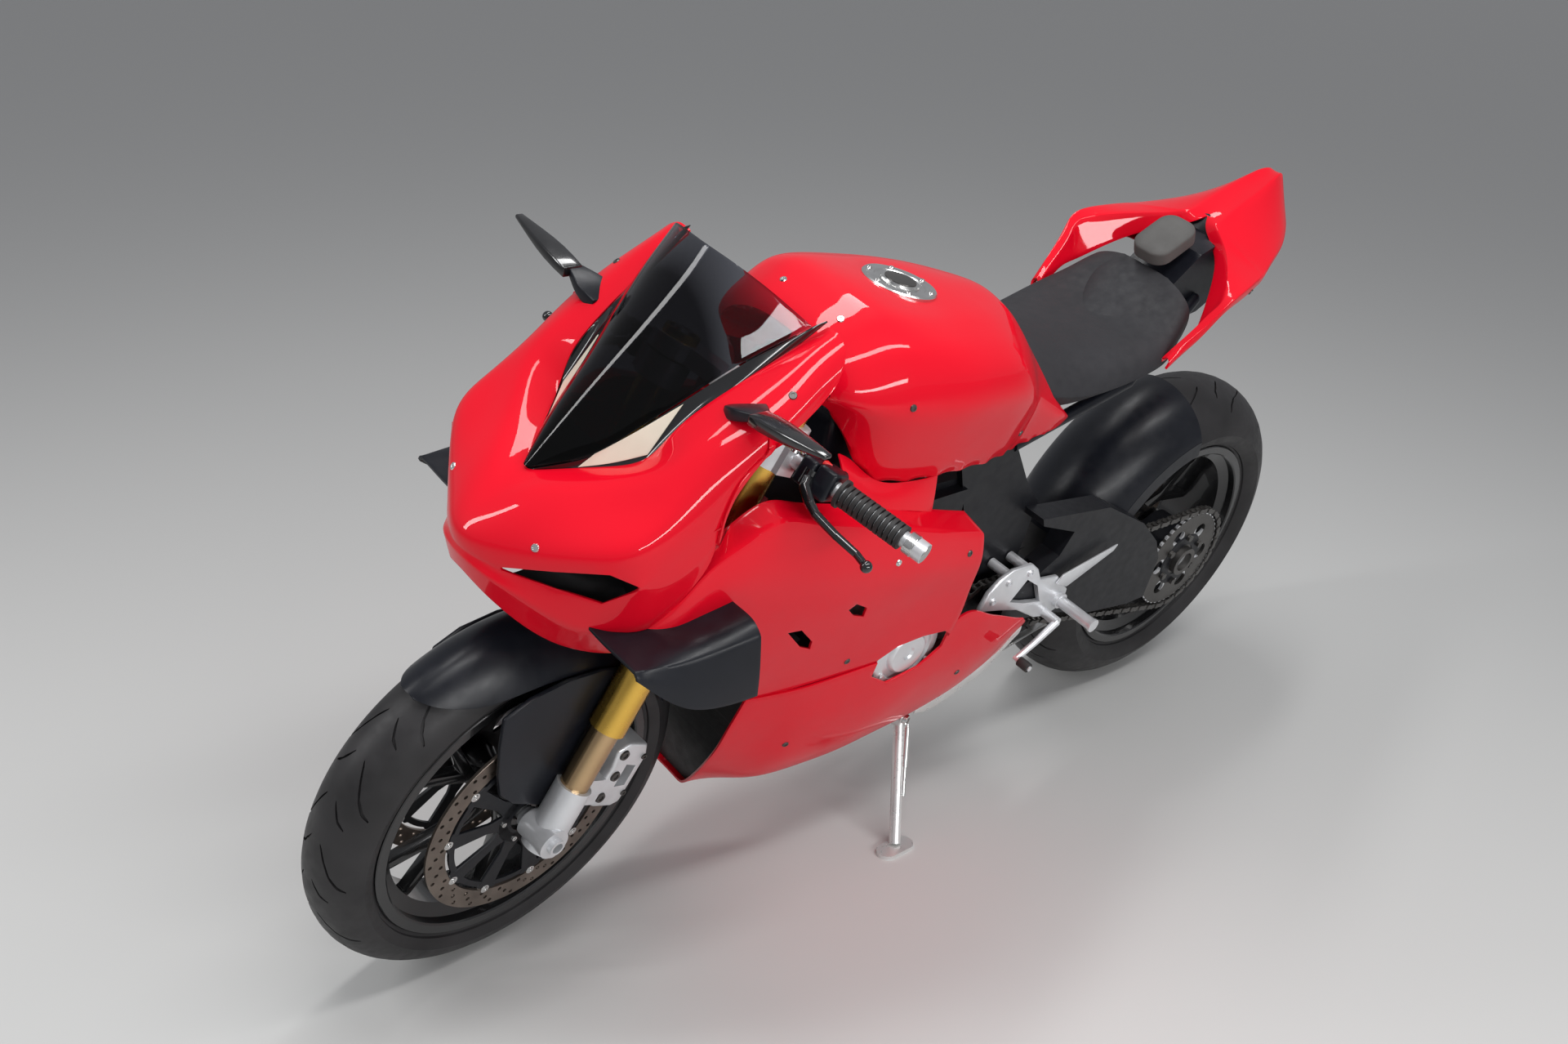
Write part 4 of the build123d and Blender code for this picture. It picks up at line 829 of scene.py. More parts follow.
def repeat(form, count):
    """Repeats all of a form round the axle."""
    source = form.verts[:] + form.edges[:] + form.faces[:]
    for step in range(1, count):
        copy = bmesh.ops.duplicate(form, geom=source)["geom"]
        verts = [part for part in copy if isinstance(part, bmesh.types.BMVert)]
        turn = Matrix.Rotation(2 * pi * step / count, 3, "Y")
        bmesh.ops.rotate(form, verts=verts, cent=(0, 0, 0), matrix=turn)


def join(form, other):
    """Adds another form to a form."""
    mesh = bpy.data.meshes.new("joined")
    other.to_mesh(mesh)
    other.free()
    form.from_mesh(mesh)
    bpy.data.meshes.remove(mesh)


# %% [markdown]
# ### Tyres
# The crown is one round arc from edge to edge, and the sides come in to the bead. Slanted hooked
# grooves are cut into it: a narrow strip is laid on the crown along the groove's path, thickened
# to both sides of the surface and cut out. Bump would do from afar, but not on the outline.

# %% The section of a tyre
flange_radius, seat_radius = 229.3, 218.2  # where tyre and rim meet


def crown_of(half, drop):
    """Radius and half angle of the arc that is half a width wide and drops to the shoulder."""
    arc = (half**2 + drop**2) / (2 * drop)
    return arc, atan2(half, arc - drop)


def tyre_section(half, drop, radius, rim_half):
    """Outside from the right shoulder to the left one, then the left wall, inside, right wall."""
    bead, shoulder = rim_half - 0.3, radius - drop
    arc, widest = crown_of(half, drop)
    outer = []
    for step in range(17):
        tilt = widest * (step / 8 - 1)
        outer.append((arc * sin(tilt), radius - arc + arc * cos(tilt)))
    side = [
        (half - 1.5, shoulder - 3), (half - 3.2, shoulder * 0.62 + flange_radius * 0.38),
        (bead + 7.5, flange_radius + 6), (bead + 4, flange_radius + 5),
        (bead + 1.5, flange_radius + 0.6), (bead, flange_radius), (bead, seat_radius),
        (bead - 9, seat_radius),
    ]
    inner = [
        (half - 10, shoulder - 5), (half * 0.5, radius - drop * 0.3 - 9), (0, radius - 9.5),
    ]
    return outer + side + inner + other_half(inner[:-1]) + other_half(side)


# %% Grooves and tyres
groove_above, groove_deep = 5.0, -3.5  # a cutter reaches from above the crown into it


def groove_cutter(path, width, side, half, drop, radius):
    """A strip along a path of (angle round the axle, share from the middle to the edge)."""
    arc, widest = crown_of(half, drop)

    def crown(turn, slant, lift):
        tilt = slant * side * widest
        reach = radius - arc + (arc + lift) * cos(tilt)
        return Vector((reach * sin(turn), (arc + lift) * sin(tilt), reach * cos(turn)))

    strip = bmesh.new()
    bmesh.ops.create_grid(strip, x_segments=1, y_segments=len(path) - 1, size=1)
    for index, vert in enumerate(strip.verts):
        turn, slant = path[index // 2]
        at_an_end = index // 2 in (0, len(path) - 1)
        half_width = width * (0.2 if at_an_end else 0.5)
        turn += (half_width if index % 2 else -half_width) / radius
        vert.co = crown(turn, slant, groove_above)
    above = [crown(turn, slant, groove_above) for turn, slant in path]
    below = [crown(turn, slant, groove_deep) for turn, slant in path]
    grown = bmesh.ops.extrude_face_region(strip, geom=strip.faces[:])
    for vert in grown["geom"]:
        if isinstance(vert, bmesh.types.BMVert):
            nearest = min(range(len(path)), key=lambda i: (above[i] - vert.co).length)
            vert.co += below[nearest] - above[nearest]
    bmesh.ops.recalc_face_normals(strip, faces=strip.faces)
    return strip


def tyre(name, half, drop, radius, rim_half, grooves, count, place, node):
    section = tyre_section(half, drop, radius, rim_half)
    made = new_object(name, lathe(section, 144, closed=True), tread_rubber)
    cutters = bmesh.new()
    half_a_step = Matrix.Rotation(pi / count, 3, "Y")
    for path, width in grooves:
        for side in (1, -1):
            strip = groove_cutter(path, width, side, half, drop, radius)
            repeat(strip, count)
            if side < 0:
                bmesh.ops.rotate(strip, verts=strip.verts, cent=(0, 0, 0), matrix=half_a_step)
            join(cutters, strip)
    cut(made, cutters)
    smooth(made, 30)
    mount(made, place, node, node)


front_grooves = [
    ([(0.0, 0.14), (0.03, 0.2), (0.09, 0.3), (0.16, 0.42), (0.21, 0.56), (0.235, 0.7)], 6.5),
    ([(0.22, 0.1), (0.25, 0.16), (0.3, 0.28), (0.325, 0.42)], 5.5),
]
rear_grooves = [
    ([(0.0, 0.16), (0.03, 0.22), (0.1, 0.32), (0.19, 0.42), (0.25, 0.54), (0.28, 0.66)], 7.5),
    ([(0.26, 0.1), (0.3, 0.18), (0.36, 0.3), (0.385, 0.42)], 6.5),
]
tyre(
    "front_tyre_tread", 59, 50, front_radius, 44.5, front_grooves, 14, on_front_wheel,
    "front_tyre",
)
tyre("rear_tyre_tread", 98, 74, rear_radius, 76.5, rear_grooves, 13, on_rear_wheel, "rear_tyre")

# %% [markdown]
# ### Rims
# A turned barrel with rounded lips carries five spokes. Each spoke leaves the hub as one stem and
# splits into two thin arms, and its edges are bevelled so that they catch a line of light.


# %% Rounded edges, and pieces with flat faces
def soften(form, width, segments=2, sharper_than=35):
    """Bevels the edges that are sharper than an angle."""
    form.normal_update()
    limit = radians(sharper_than)
    edges = [edge for edge in form.edges if edge.is_manifold and edge.calc_face_angle() > limit]
    bmesh.ops.bevel(
        form, geom=edges, offset=width, segments=segments, profile=0.5, affect="EDGES",
        material=-1, clamp_overlap=True,
    )
    return form


def hard_piece(name, form, material, place, slot, *nodes):
    """Form to finished piece, with flat faces kept flat."""
    made = new_object(name, form, material)
    smooth(made)
    mount(made, place, slot, *nodes)


# %% Rims
def rim(name, half, hub, spoke, depth, place, node):
    """hub: turned section; spoke: hub radius, fork radius, half widths of stem and arm, spread."""
    seat_edge, outer = half - 14, half + 5
    section = [
        (0, 199), (seat_edge - 10, 199), (seat_edge, 217.7), (half - 1, 217.7), (half, 219),
        (half, 227.5), (half + 1.2, 229), (outer - 1.2, 229), (outer, 227.5), (outer, 214),
        (outer - 2, 211.5), (seat_edge + 3, 211.5), (seat_edge - 7, 193), (0, 193),
    ]
    form = lathe(section + other_half(section[1:-1]), 120, closed=True)
    lathe(hub, 48, form)
    base, fork_at, stem, arm, spread_to = spoke
    outline = [
        (-stem, base), (-stem * 0.86, fork_at), (-spread_to - arm, 194), (-spread_to + arm, 195.5),
        (0, fork_at + 22), (spread_to - arm, 195.5), (spread_to + arm, 194),
        (stem * 0.86, fork_at), (stem, base),
    ]
    spokes = soften(prism(outline, *depth), 2.2)
    repeat(spokes, 5)
    join(form, spokes)
    hard_piece(name, form, rim_black, place, node, node)


front_hub = [
    (-63, 14), (-63, 30), (-61, 32.5), (-50, 33), (-28, 27), (28, 27), (50, 33), (61, 32.5),
    (63, 30), (63, 14),
]
rear_hub = [
    (-61, 23), (-61, 50), (-59, 53), (-44, 56), (-18, 50), (10, 50), (20, 56), (25, 56), (25, 23),
]
front_spoke, rear_spoke = (27, 84, 12.5, 6.5, 46), (46, 104, 14.5, 8, 50)
rim("front_rim_spoked", 44.5, front_hub, front_spoke, (-10, 10), on_front_wheel, "front_rim")
rim("rear_rim_spoked", 76.5, rear_hub, rear_spoke, (-44, -16), on_rear_wheel, "rear_rim")

# %% [markdown]
# ### Brake discs
# Each front disc is a drilled steel band that floats on silver bobbins round a black carrier. The
# holes run in three slanted rows, and one cut through both discs makes all of them.


# %% Rings of points, rods and bolts
def around(count, radius, lag=0.0):
    """The x and z of points that are spread evenly round an axle."""
    for step in range(count):
        turn = 2 * pi * (step + lag) / count
        yield radius * sin(turn), radius * cos(turn)


def rod(form, start, end, radius, sides=24, end_radius=None):
    """A round bar or cone between two points, with both ends closed."""
    start, end = Vector(start), Vector(end)
    along = end - start
    turn = along.to_track_quat("Z", "Y").to_matrix().to_4x4()
    bmesh.ops.create_cone(
        form, cap_ends=True, segments=sides, radius1=radius,
        radius2=radius if end_radius is None else end_radius, depth=along.length,
        matrix=Matrix.Translation(start.lerp(end, 0.5)) @ turn,
    )


def bolt(form, place, outward, radius, height):
    """A socket cap screw: a round head with a bevelled rim and a well."""
    place, outward = Vector(place), Vector(outward).normalized()
    turn = Matrix.Translation(place) @ outward.to_track_quat("Z", "Y").to_matrix().to_4x4()
    head = bmesh.ops.create_cone(
        form, cap_ends=True, segments=18, radius1=radius, radius2=radius * 0.86, depth=height,
        matrix=turn @ Matrix.Translation((0, 0, height / 2)),
    )
    top = max(
        {face for vert in head["verts"] for face in vert.link_faces},
        key=lambda face: face.calc_center_median().dot(outward),
    )
    bmesh.ops.inset_region(form, faces=[top], thickness=radius * 0.36, depth=0)
    bmesh.ops.inset_region(form, faces=[top], thickness=radius * 0.03, depth=-height * 0.5)


# %% Drilled bands
def drilled(name, near, inner, outer, holes, rows, place, slot, *nodes, twin=False):
    """A band with rows of small holes. near: where its inner face lies; rows: (radius, lag)."""
    far = near + 5
    band = [
        (near, inner), (near, outer - 0.5), (near + 0.5, outer), (far - 0.5, outer),
        (far, outer - 0.5), (far, inner),
    ]
    form = lathe(band, 120, closed=True)
    if twin:
        lathe(other_half(band), 120, form, closed=True)
    drill_from, drill_to = (-90, 90) if twin else (near - 5, near + 15)
    drills = bmesh.new()
    for radius, lag in rows:
        for x, z in around(holes, radius, lag):
            rod(drills, (x, drill_from, z), (x, drill_to, z), 3.3, 10)
    made = new_object(name, form, disc_steel)
    cut(made, drills)
    smooth(made, 30)
    mount(made, place, slot, *nodes)


front_rows, rear_rows = [(141, 0), (149.5, 0.33), (158, 0.66)], [(96, 0), (105, 0.33), (114, 0.66)]
drilled(
    "front_disc_bands", 63.5, 134, 165, 26, front_rows, on_front_wheel, "front_discs",
    "front_discs", twin=True,
)
drilled("rear_disc_band", -30.5, 88, 122, 22, rear_rows, on_rear_wheel, "rear_disc")

# %% [markdown]
# ### What carries the discs
# Ten slim arms reach from the hub to the band, and a bobbin pins each of them to it. They are
# drawn for the left disc, repeated round the axle and mirrored. The rear disc has a plain ring.


# %% Front carriers
def mirrored(form):
    """Adds the right-hand twin of everything in a form."""
    geometry = form.verts[:] + form.edges[:] + form.faces[:]
    bmesh.ops.mirror(form, geom=geometry, axis="Y", merge_dist=0)
    bmesh.ops.recalc_face_normals(form, faces=form.faces)
    return form


near, far = 63.5, 68.5  # the left disc's faces
arm = [
    (-17, 30), (-9, 66), (-14, 122), (-19, 127), (-15, 131), (15, 131), (19, 127), (14, 122),
    (9, 66), (17, 30),
]
hub_ring = [(near, 26), (near, 47), (near + 1, 48), (far - 1, 48), (far, 47), (far, 26)]
outer_ring = [(near + 0.4, 119), (near + 0.4, 128), (far - 0.4, 128), (far - 0.4, 119)]
carrier = soften(prism(arm, near, far), 0.8, 1)
repeat(carrier, 10)
lathe(hub_ring, 60, carrier, closed=True)
lathe(outer_ring, 90, carrier, closed=True)
hard_piece("front_disc_carriers", mirrored(carrier), cast_black, on_front_wheel, "front_discs")

# %% Bobbins and hub bolts
bobbins = bmesh.new()
for side in (1, -1):
    for x, z in around(10, 132):
        rod(bobbins, (x, side * 62.6, z), (x, side * 69.4, z), 7.0, 20)
        bolt(bobbins, (x, side * 69.2, z), (0, side, 0), 4.6, 1.4)
    for x, z in around(5, 40, lag=0.5):
        bolt(bobbins, (x, side * far, z), (0, side, 0), 4.4, 3)
hard_piece("front_disc_bobbins", bobbins, silver_turned, on_front_wheel, "front_discs")

# %% Rear disc's carrier
rear_carrier = lathe([(-30.5, 58), (-30.5, 90), (-26, 90), (-26, 58)], 90, closed=True)
for x, z in around(6, 88):
    rod(rear_carrier, (x, -31.5, z), (x, -25, z), 6.5, 18)
hard_piece(
    "rear_disc_carrier", rear_carrier, dark_steel, on_rear_wheel, "rear_disc", "rear_disc",
)

# %% [markdown]
# ### Sprocket
# A sprocket is cut from plate. Its outline is a ring of points that step up and down four to a
# tooth, and its round windows are cut out, in the same way as the slots of the panels.

# %% Rear sprocket
chain_line, rear_pitch, front_pitch = 120.0, 111.7, 46.7  # distance to the left, and two radii
tooth = (99.0, 104.5, 106.0, 104.5)  # root, flank, tip, flank
points = 42 * len(tooth)
outline = []
for step in range(points):
    turn, reach = 2 * pi * step / points, tooth[step % len(tooth)]
    outline.append((reach * sin(turn), reach * cos(turn)))
plate_form = prism(outline, chain_line - 2.8, chain_line + 2.8)
sprocket = new_object("sprocket_body", plate_form, silver_cast)
openings = bmesh.new()
beside = 0.3 / (2 * pi / 6)  # a small hole's distance from a large one, in sixths of a turn
for radius, lag, size, sides in (
    (72, 0.5, 15.5, 28), (88, 0.5 - beside, 4.5, 14), (88, 0.5 + beside, 4.5, 14),
):
    for x, z in around(6, radius, lag):
        rod(openings, (x, 90, z), (x, 150, z), size, sides)
cut(sprocket, openings)
smooth(sprocket)
mount(sprocket, on_rear_wheel, "rear_spindle")

# %% Sprocket carrier and nuts
hub_form = lathe(
    [(60, 34), (60, 62), (112, 62), (118, 58), (123, 58), (125, 55), (125, 34)], 60, closed=True,
)
hard_piece("sprocket_carrier", hub_form, cast_black, on_rear_wheel, "rear_spindle")
nuts = bmesh.new()
for x, z in around(6, 52):
    rod(nuts, (x, 124.5, z), (x, 131, z), 7.5, 6)
hard_piece("sprocket_nuts", nuts, dark_steel, on_rear_wheel, "rear_spindle")

# %% [markdown]
# ### Chain
# The chain's path is two arcs and two straight runs, and its length is worked out from the two
# pitch circles. A plate is drawn once, and the links are laid along the path with inner and outer
# plates in turn. Curve and array modifiers could do it too, but a loop keeps every pin in place.

# %% The chain's path
front_x, front_z = 628.0, 424.0 - rear_radius  # front sprocket, from the rear axle
link_pitch = 15.875
span = hypot(front_x, front_z)
slope = atan2(front_z, front_x)
wrap = acos((rear_pitch - front_pitch) / span)
straight = span * sin(wrap)
rear_arc, front_arc = 2 * (pi - wrap) * rear_pitch, 2 * wrap * front_pitch
length = rear_arc + front_arc + 2 * straight
links = 2 * round(length / link_pitch / 2)
rear_centre, front_centre = Vector((0, 0)), Vector((front_x, front_z))


def toward(angle):
    return Vector((cos(angle), sin(angle)))


def chain_point(distance):
    """A point and the direction of travel on the chain's path, in the rear wheel's plane."""
    distance %= length
    on_top, below = slope + wrap, slope - wrap
    if distance < straight:  # upper run, forwards
        return toward(on_top) * rear_pitch + toward(on_top - pi / 2) * distance, on_top - pi / 2
    distance -= straight
    if distance < front_arc:
        angle = on_top - distance / front_pitch
        return front_centre + toward(angle) * front_pitch, angle - pi / 2
    distance -= front_arc
    if distance < straight:  # lower run, back
        start = front_centre + toward(below) * front_pitch
        return start + toward(below - pi / 2) * distance, below - pi / 2
    angle = below - (distance - straight) / rear_pitch
    return rear_centre + toward(angle) * rear_pitch, angle - pi / 2


print(links, "links,", round(length), "mm")

# %% Links
plate_outline = [
    (-7.9, -5.6), (-12, -3.4), (-13, 0), (-12, 3.4), (-7.9, 5.6), (0, 4.2), (7.9, 5.6), (12, 3.4),
    (13, 0), (12, -3.4), (7.9, -5.6), (0, -4.2),
]
inner_offset, outer_offset, plate_wall = 3.6, 5.4, 1.5
chain_form = bmesh.new()
plate = bpy.data.meshes.new("plate")
single = prism(plate_outline, 0, plate_wall)
single.to_mesh(plate)
single.free()
pitch = length / links
for index in range(links):
    here, heading = chain_point((index + 0.5) * pitch)
    offset = outer_offset if index % 2 else inner_offset
    for near in (chain_line + offset, chain_line - offset - plate_wall):
        laid = plate.copy()
        turn = Matrix.Rotation(-heading, 4, "Y")
        laid.transform(Matrix.Translation((here.x, near, here.y)) @ turn)
        chain_form.from_mesh(laid)
        bpy.data.meshes.remove(laid)
    pin, _ = chain_point(index * pitch)
    for half_long, radius, sides in ((3.6, 4.2, 10), (7, 2.2, 8)):  # roller and pin
        start, end = (pin.x, chain_line - half_long, pin.y), (pin.x, chain_line + half_long, pin.y)
        rod(chain_form, start, end, radius, sides)
hard_piece("chain", chain_form, dark_steel, (rear_wheel, "chassis"), "drive_chain", "drive_chain")

# %% [markdown]
# ## Fork, brakes and controls
# These ride the steering, so they are drawn on the fork's board. The mudguard comes first: a thin
# arch over the tyre that tapers to a round tip, with a flat leg down to the fork on each side.


# %% Mudguard's arch
arch = [  # degrees ahead of the fork's direction, half width
    (58.5, 14), (56.5, 34), (52, 51), (45, 63), (34, 69), (20, 71), (4, 72), (-14, 72), (-30, 72),
    (-39, 71),
]
arch_radius, widest_half, crown_drop = 316.5, 72, 66


def arch_row(degrees_ahead, half):
    """A row across the arch: it drops with the square of the distance from the middle."""
    turn, row = radians(degrees_ahead), []
    for share in (0, 0.4, 0.7, 0.9, 1.0):
        y = half * share
        radius = arch_radius - crown_drop * (y / widest_half) ** 2
        row.append((radius * sin(turn), y, radius * cos(turn)))
    return row


fender_cage = surface([arch_row(*pair) for pair in arch], inside=(0, 0, 0))
fender_arch = panel("fender_arch", fender_cage, black_plastic, wall=2.6)
mount(fender_arch, on_steering, "front_fender", "front_fender")

# %% Mudguard's legs
leg = [
    (-70, 268), (-64, 225), (-50, 150), (-38, 72), (-30, 42), (10, 30), (62, 36), (98, 52),
    (122, 84), (150, 134), (170, 178), (140, 212), (88, 242), (30, 260),
]
fender_legs = mirrored(soften(prism(leg, 76, 84), 3.0))
hard_piece("fender_legs", fender_legs, black_plastic, on_steering, "front_fender")

# %% [markdown]
# ### Callipers
# A calliper is one rounded block that straddles the disc. Its side view is drawn and pulled out,
# a ring the size of the disc is cut out of it, and so is the window that shows the pads.

# %% Callipers
calliper = [
    (-152, 34), (-154, 120), (-142, 141), (-104, 142), (-84, 128), (-92, 98), (-88, 70),
    (-80, 44), (-96, 27), (-136, 26),
]
body = mirrored(soften(prism(calliper, 36, 97), 5.5, 3))
callipers = new_object("front_calliper_pair", body, silver_cast)
disc_room = lathe([(58.5, 20), (58.5, 171), (73.5, 171), (73.5, 20)], 72, closed=True)
pad_window = prism([(-140, 66), (-140, 102), (-118, 104), (-118, 64)], 30, 110)
for tool in (disc_room, pad_window):
    cut(callipers, mirrored(tool))
smooth(callipers)
mount(callipers, on_steering, "front_callipers", "front_callipers")

# %% Calliper bolts and axle nut
calliper_bolts = bmesh.new()
for x, z, radius, height in (
    (-100, 46, 9.0, 3.2), (-106, 84, 9.0, 3.2), (-100, 122, 9.0, 3.2), (-147, 52, 5.0, 3),
    (-147, 118, 5.0, 3),
):
    bolt(calliper_bolts, (x, 96.6, z), (0, 1, 0), radius, height)
hard_piece("calliper_bolts", calliper_bolts, dark_steel, on_steering, "front_callipers")
nut_form = lathe([(120, 0), (120, 19), (129, 19), (131, 17), (131, 13), (127, 12), (127, 0)], 48)
nut = new_object("axle_nut", nut_form, silver_turned)
cut(nut, prism([(-3, -30), (-3, 30), (3, 30), (3, -30)], 128.5, 140))
smooth(nut)
mount(nut, on_steering, "fork_feet")

# %% [markdown]
# ### Handlebars
# All that a hand needs sits on the bar, so places here are distances along it. A lever is a round
# bar that bends and ends in a ball. A grip is a row of rubber flanges, and the bar ends in a
# turned weight.

# %% Levers
bar_start, bar_end = Vector((-14, 126, 640)), Vector((-64, 340, 633))
bar_way = (bar_end - bar_start).normalized()


def on_bar(distance, offset=(0, 0, 0)):
    return bar_start + bar_way * distance + Vector(offset)


def ball(form, place, radius, around_it=16, up_it=8):
    where = Matrix.Translation(place)
    bmesh.ops.create_uvsphere(
        form, u_segments=around_it, v_segments=up_it, radius=radius, matrix=where,
    )


def pipe(form, points, radii, sides=16):
    """A bar through points, with round joints."""
    for index, (start, end) in enumerate(zip(points, points[1:])):
        rod(form, start, end, radii[index], sides, radii[index + 1])
    for point, radius in zip(points[1:-1], radii[1:-1]):
        ball(form, point, radius)


lever_form = bmesh.new()
lever_path = [
    on_bar(60, (22, 0, -4)), on_bar(72, (40, 0, -12)), on_bar(96, (54, 0, -22)),
    on_bar(112, (58, 0, -28)), on_bar(150, (60, 0, -34)), on_bar(184, (58, 0, -38)),
    on_bar(206, (64, 0, -42)),
]
pipe(lever_form, lever_path, [7.5, 7.5, 7.0, 6.4, 5.8, 5.2, 5.0])
ball(lever_form, lever_path[-1], 8.2, 20, 12)
rod(lever_form, on_bar(58, (20, 0, 8)), on_bar(58, (20, 0, -14)), 9.0)
hard_piece("levers_bent", mirrored(lever_form), gloss_black, on_steering, "levers", "levers")

# %% Switches
across_bar = bar_way.cross(Vector((0, 0, 1))).normalized()
bar_turn = Matrix((across_bar, bar_way, across_bar.cross(bar_way))).transposed().to_4x4()
switches = bmesh.new()
for distance, size in ((46, (44, 24, 40)), (74, (46, 30, 44))):
    place = Matrix.Translation(on_bar(distance)) @ bar_turn @ Matrix.Diagonal((*size, 1))
    bmesh.ops.create_cube(switches, size=1, matrix=place)
soften(switches, 6, 3)
rod(switches, on_bar(74, (-16, 0, 10)), on_bar(74, (-30, 0, 14)), 7.0)
hard_piece(
    "switch_blocks", mirrored(switches), black_plastic, on_steering, "control_clusters",
    "control_clusters",
)
button = bmesh.new()
place = Matrix.Translation(on_bar(60, (-2, 0, 20))) @ bar_turn
bmesh.ops.create_cone(
    button, cap_ends=True, segments=3, radius1=9, radius2=7.5, depth=7, matrix=place,
)
hard_piece("warning_button", soften(button, 1.2), red_button, on_steering, "control_clusters")

# %% Grips, bar ends and clamp bolts
bar_caps = bmesh.new()
rod(bar_caps, on_bar(205), on_bar(216), 15.5, 32)
rod(bar_caps, on_bar(216), on_bar(233), 13.6, 32, 12.6)
hard_piece("bar_end_caps", mirrored(bar_caps), silver_turned, on_steering, "clip_ons")
flanges = bmesh.new()
for distance in range(104, 200, 8):
    rod(flanges, on_bar(distance), on_bar(distance + 5.5), 17.0, 32)
rod(flanges, on_bar(96), on_bar(101), 20.5, 32)
hard_piece("ribbed_grips", mirrored(flanges), rubber, on_steering, "grips", "grips")
clamp_bolts = bmesh.new()
for x, y in ((-34, 130), (14, 130), (-20, 152), (2, 152)):
    bolt(clamp_bolts, (x, y, 652), (0, 0, 1), 5.5, 4)
bolt(clamp_bolts, (-8, 107, 690), (0, 0, 1), 16, 5)
hard_piece("clamp_bolts", mirrored(clamp_bolts), silver_turned, on_steering, "clip_ons")

# %% [markdown]
# ## Engine side, rests and stand
# The round engine cover shows in the window of the side panel. It is a turned cap with a groove
# and a ring of screws. The tank's filler is a turned ring in the same way, laid on the tank's
# slope, with a dark lid let into it.

# %% Engine cover
cover_x, cover_z = 856, 452
cover_section = [
    (92, 88), (142, 88), (150, 82), (152, 74), (168, 72), (176, 68), (178, 62), (178, 52),
    (174, 50), (174, 40), (179, 38), (182, 34), (182, 12), (179, 9), (179, 0),
]
cover = lathe(cover_section, 96, centre=(cover_x, 0, cover_z))
for x, z in around(6, 57):
    bolt(cover, (cover_x + x, 178, cover_z + z), (0, 1, 0), 4.4, 2.6)
hard_piece(
    "engine_cover_turned", mirrored(cover), silver_cast, on_chassis, "engine_covers",
    "engine_covers",
)

# %% Filler cap
cap_up = Vector((-0.16, 0, 1)).to_track_quat("Z", "Y").to_matrix().to_4x4()
cap_place = Matrix.Translation((893, 0, 1004)) @ cap_up @ Matrix.Rotation(radians(90), 4, "X")
ring, lid = lathe([(0, 57), (7, 57), (9, 55), (9, 40), (7, 38), (7, 0)], 72), bmesh.new()
for x, z in around(6, 48):
    bolt(ring, (x, 9, z), (0, 1, 0), 4.2, 2.4)
rod(ring, (0, 6, 0), (0, 11, 0), 30, 48, 29)
rod(lid, (0, 10.5, 0), (0, 12, 0), 24, 48)
for form in (ring, lid):
    bmesh.ops.transform(form, matrix=cap_place, verts=form.verts)
hard_piece("filler_cap", ring, silver_turned, on_chassis, "fuel_cap", "fuel_cap")
hard_piece("filler_lid", lid, dark_steel, on_chassis, "fuel_cap")

# %% [markdown]
# ### Footrests
# The footrest's bracket is one flat plate with an opening and rounded edges. The peg, the heel
# guard and the gear lever are bolted to it. The bevel matters most here: without it, a plate shows
# no bright line along its edge and looks like card.

# %% Brackets and heel guards
bracket = [
    (668, 452), (656, 486), (634, 506), (606, 518), (556, 516), (536, 500), (518, 472),
    (468, 464), (452, 446), (426, 424), (424, 402), (440, 384), (468, 376), (500, 384),
    (560, 420), (610, 436),
]
bracket_window = [(590, 448), (560, 486), (524, 462), (500, 420), (548, 432)]
plate_forms = mirrored(soften(prism(bracket, 148, 158), 3.4, 3))
plates = new_object("rest_brackets", plate_forms, silver_cast)
cut(plates, both_sides(bracket_window, 140, 170))
smooth(plates)
mount(plates, on_chassis, "footrests", "footrests")
guard = [(474, 452), (462, 468), (322, 492), (330, 480), (440, 436)]
guards = mirrored(soften(prism(guard, 159, 163), 1.4))
hard_piece("heel_guards", guards, silver_cast, on_chassis, "footrests")

# %% Pegs
peg_x, peg_z = 446, 408
pegs = bmesh.new()
for start, end, radius, sides in ((158, 166, 15, 24), (166, 239, 11, 28), (238, 242, 12.5, 28)):
    rod(pegs, (peg_x, start, peg_z), (peg_x, end, peg_z), radius, sides)
for x, z in ((612, 496), (560, 500), (640, 466)):
    bolt(pegs, (x, 158, z), (0, 1, 0), 7.5, 4)
for x in (602, 556):  # stubs that hold the bracket to the frame
    rod(pegs, (x, 106, 500), (x, 150, 500), 9)
hard_piece("pegs", mirrored(pegs), silver_cast, on_chassis, "footrests")

# %% Foot levers
lever_bars, toes = bmesh.new(), bmesh.new()
rod(lever_bars, (474, 158, 388), (474, 190, 388), 9)
bend = [Vector((474, 188, 388)), Vector((520, 190, 362)), Vector((562, 190, 340))]
pipe(lever_bars, bend, [7, 6, 5.5])
rod(lever_bars, (562, 186, 340), (562, 222, 340), 5)
hard_piece(
    "foot_levers", mirrored(lever_bars), silver_cast, on_chassis, "foot_pedals", "foot_pedals",
)
rod(toes, (562, 197, 340), (562, 220, 340), 9, 20)
hard_piece("toe_rubbers", mirrored(soften(toes, 1.5)), rubber, on_chassis, "foot_pedals")

# %% [markdown]
# ### Stand spring
# A coil spring pulls the side stand's leg up or down past its pivot. Its turns are so close that
# short discs in a row read as a coil, at a small part of a real coil's faces.

# %% Side stand's spring and pivot
hook, coil_end, rod_end = (722, 128, 206), (750, 169, 152), (768, 196, 116)
turns, one_turn = 16, Vector((1.0, 1.5, -2.0))
stand_spring = bmesh.new()
rod(stand_spring, hook, rod_end, 4.2, 12)
for step in range(turns):
    centre = Vector(hook).lerp(Vector(coil_end), 0.1 + 0.85 * step / (turns - 1))
    rod(stand_spring, centre, centre + one_turn, 6.4, 14)
bolt(stand_spring, (724.5, 122, 213), (-0.255, 0.964, 0.078), 11, 6)
hard_piece("stand_spring", stand_spring, silver_turned, on_stand, "side_stand")

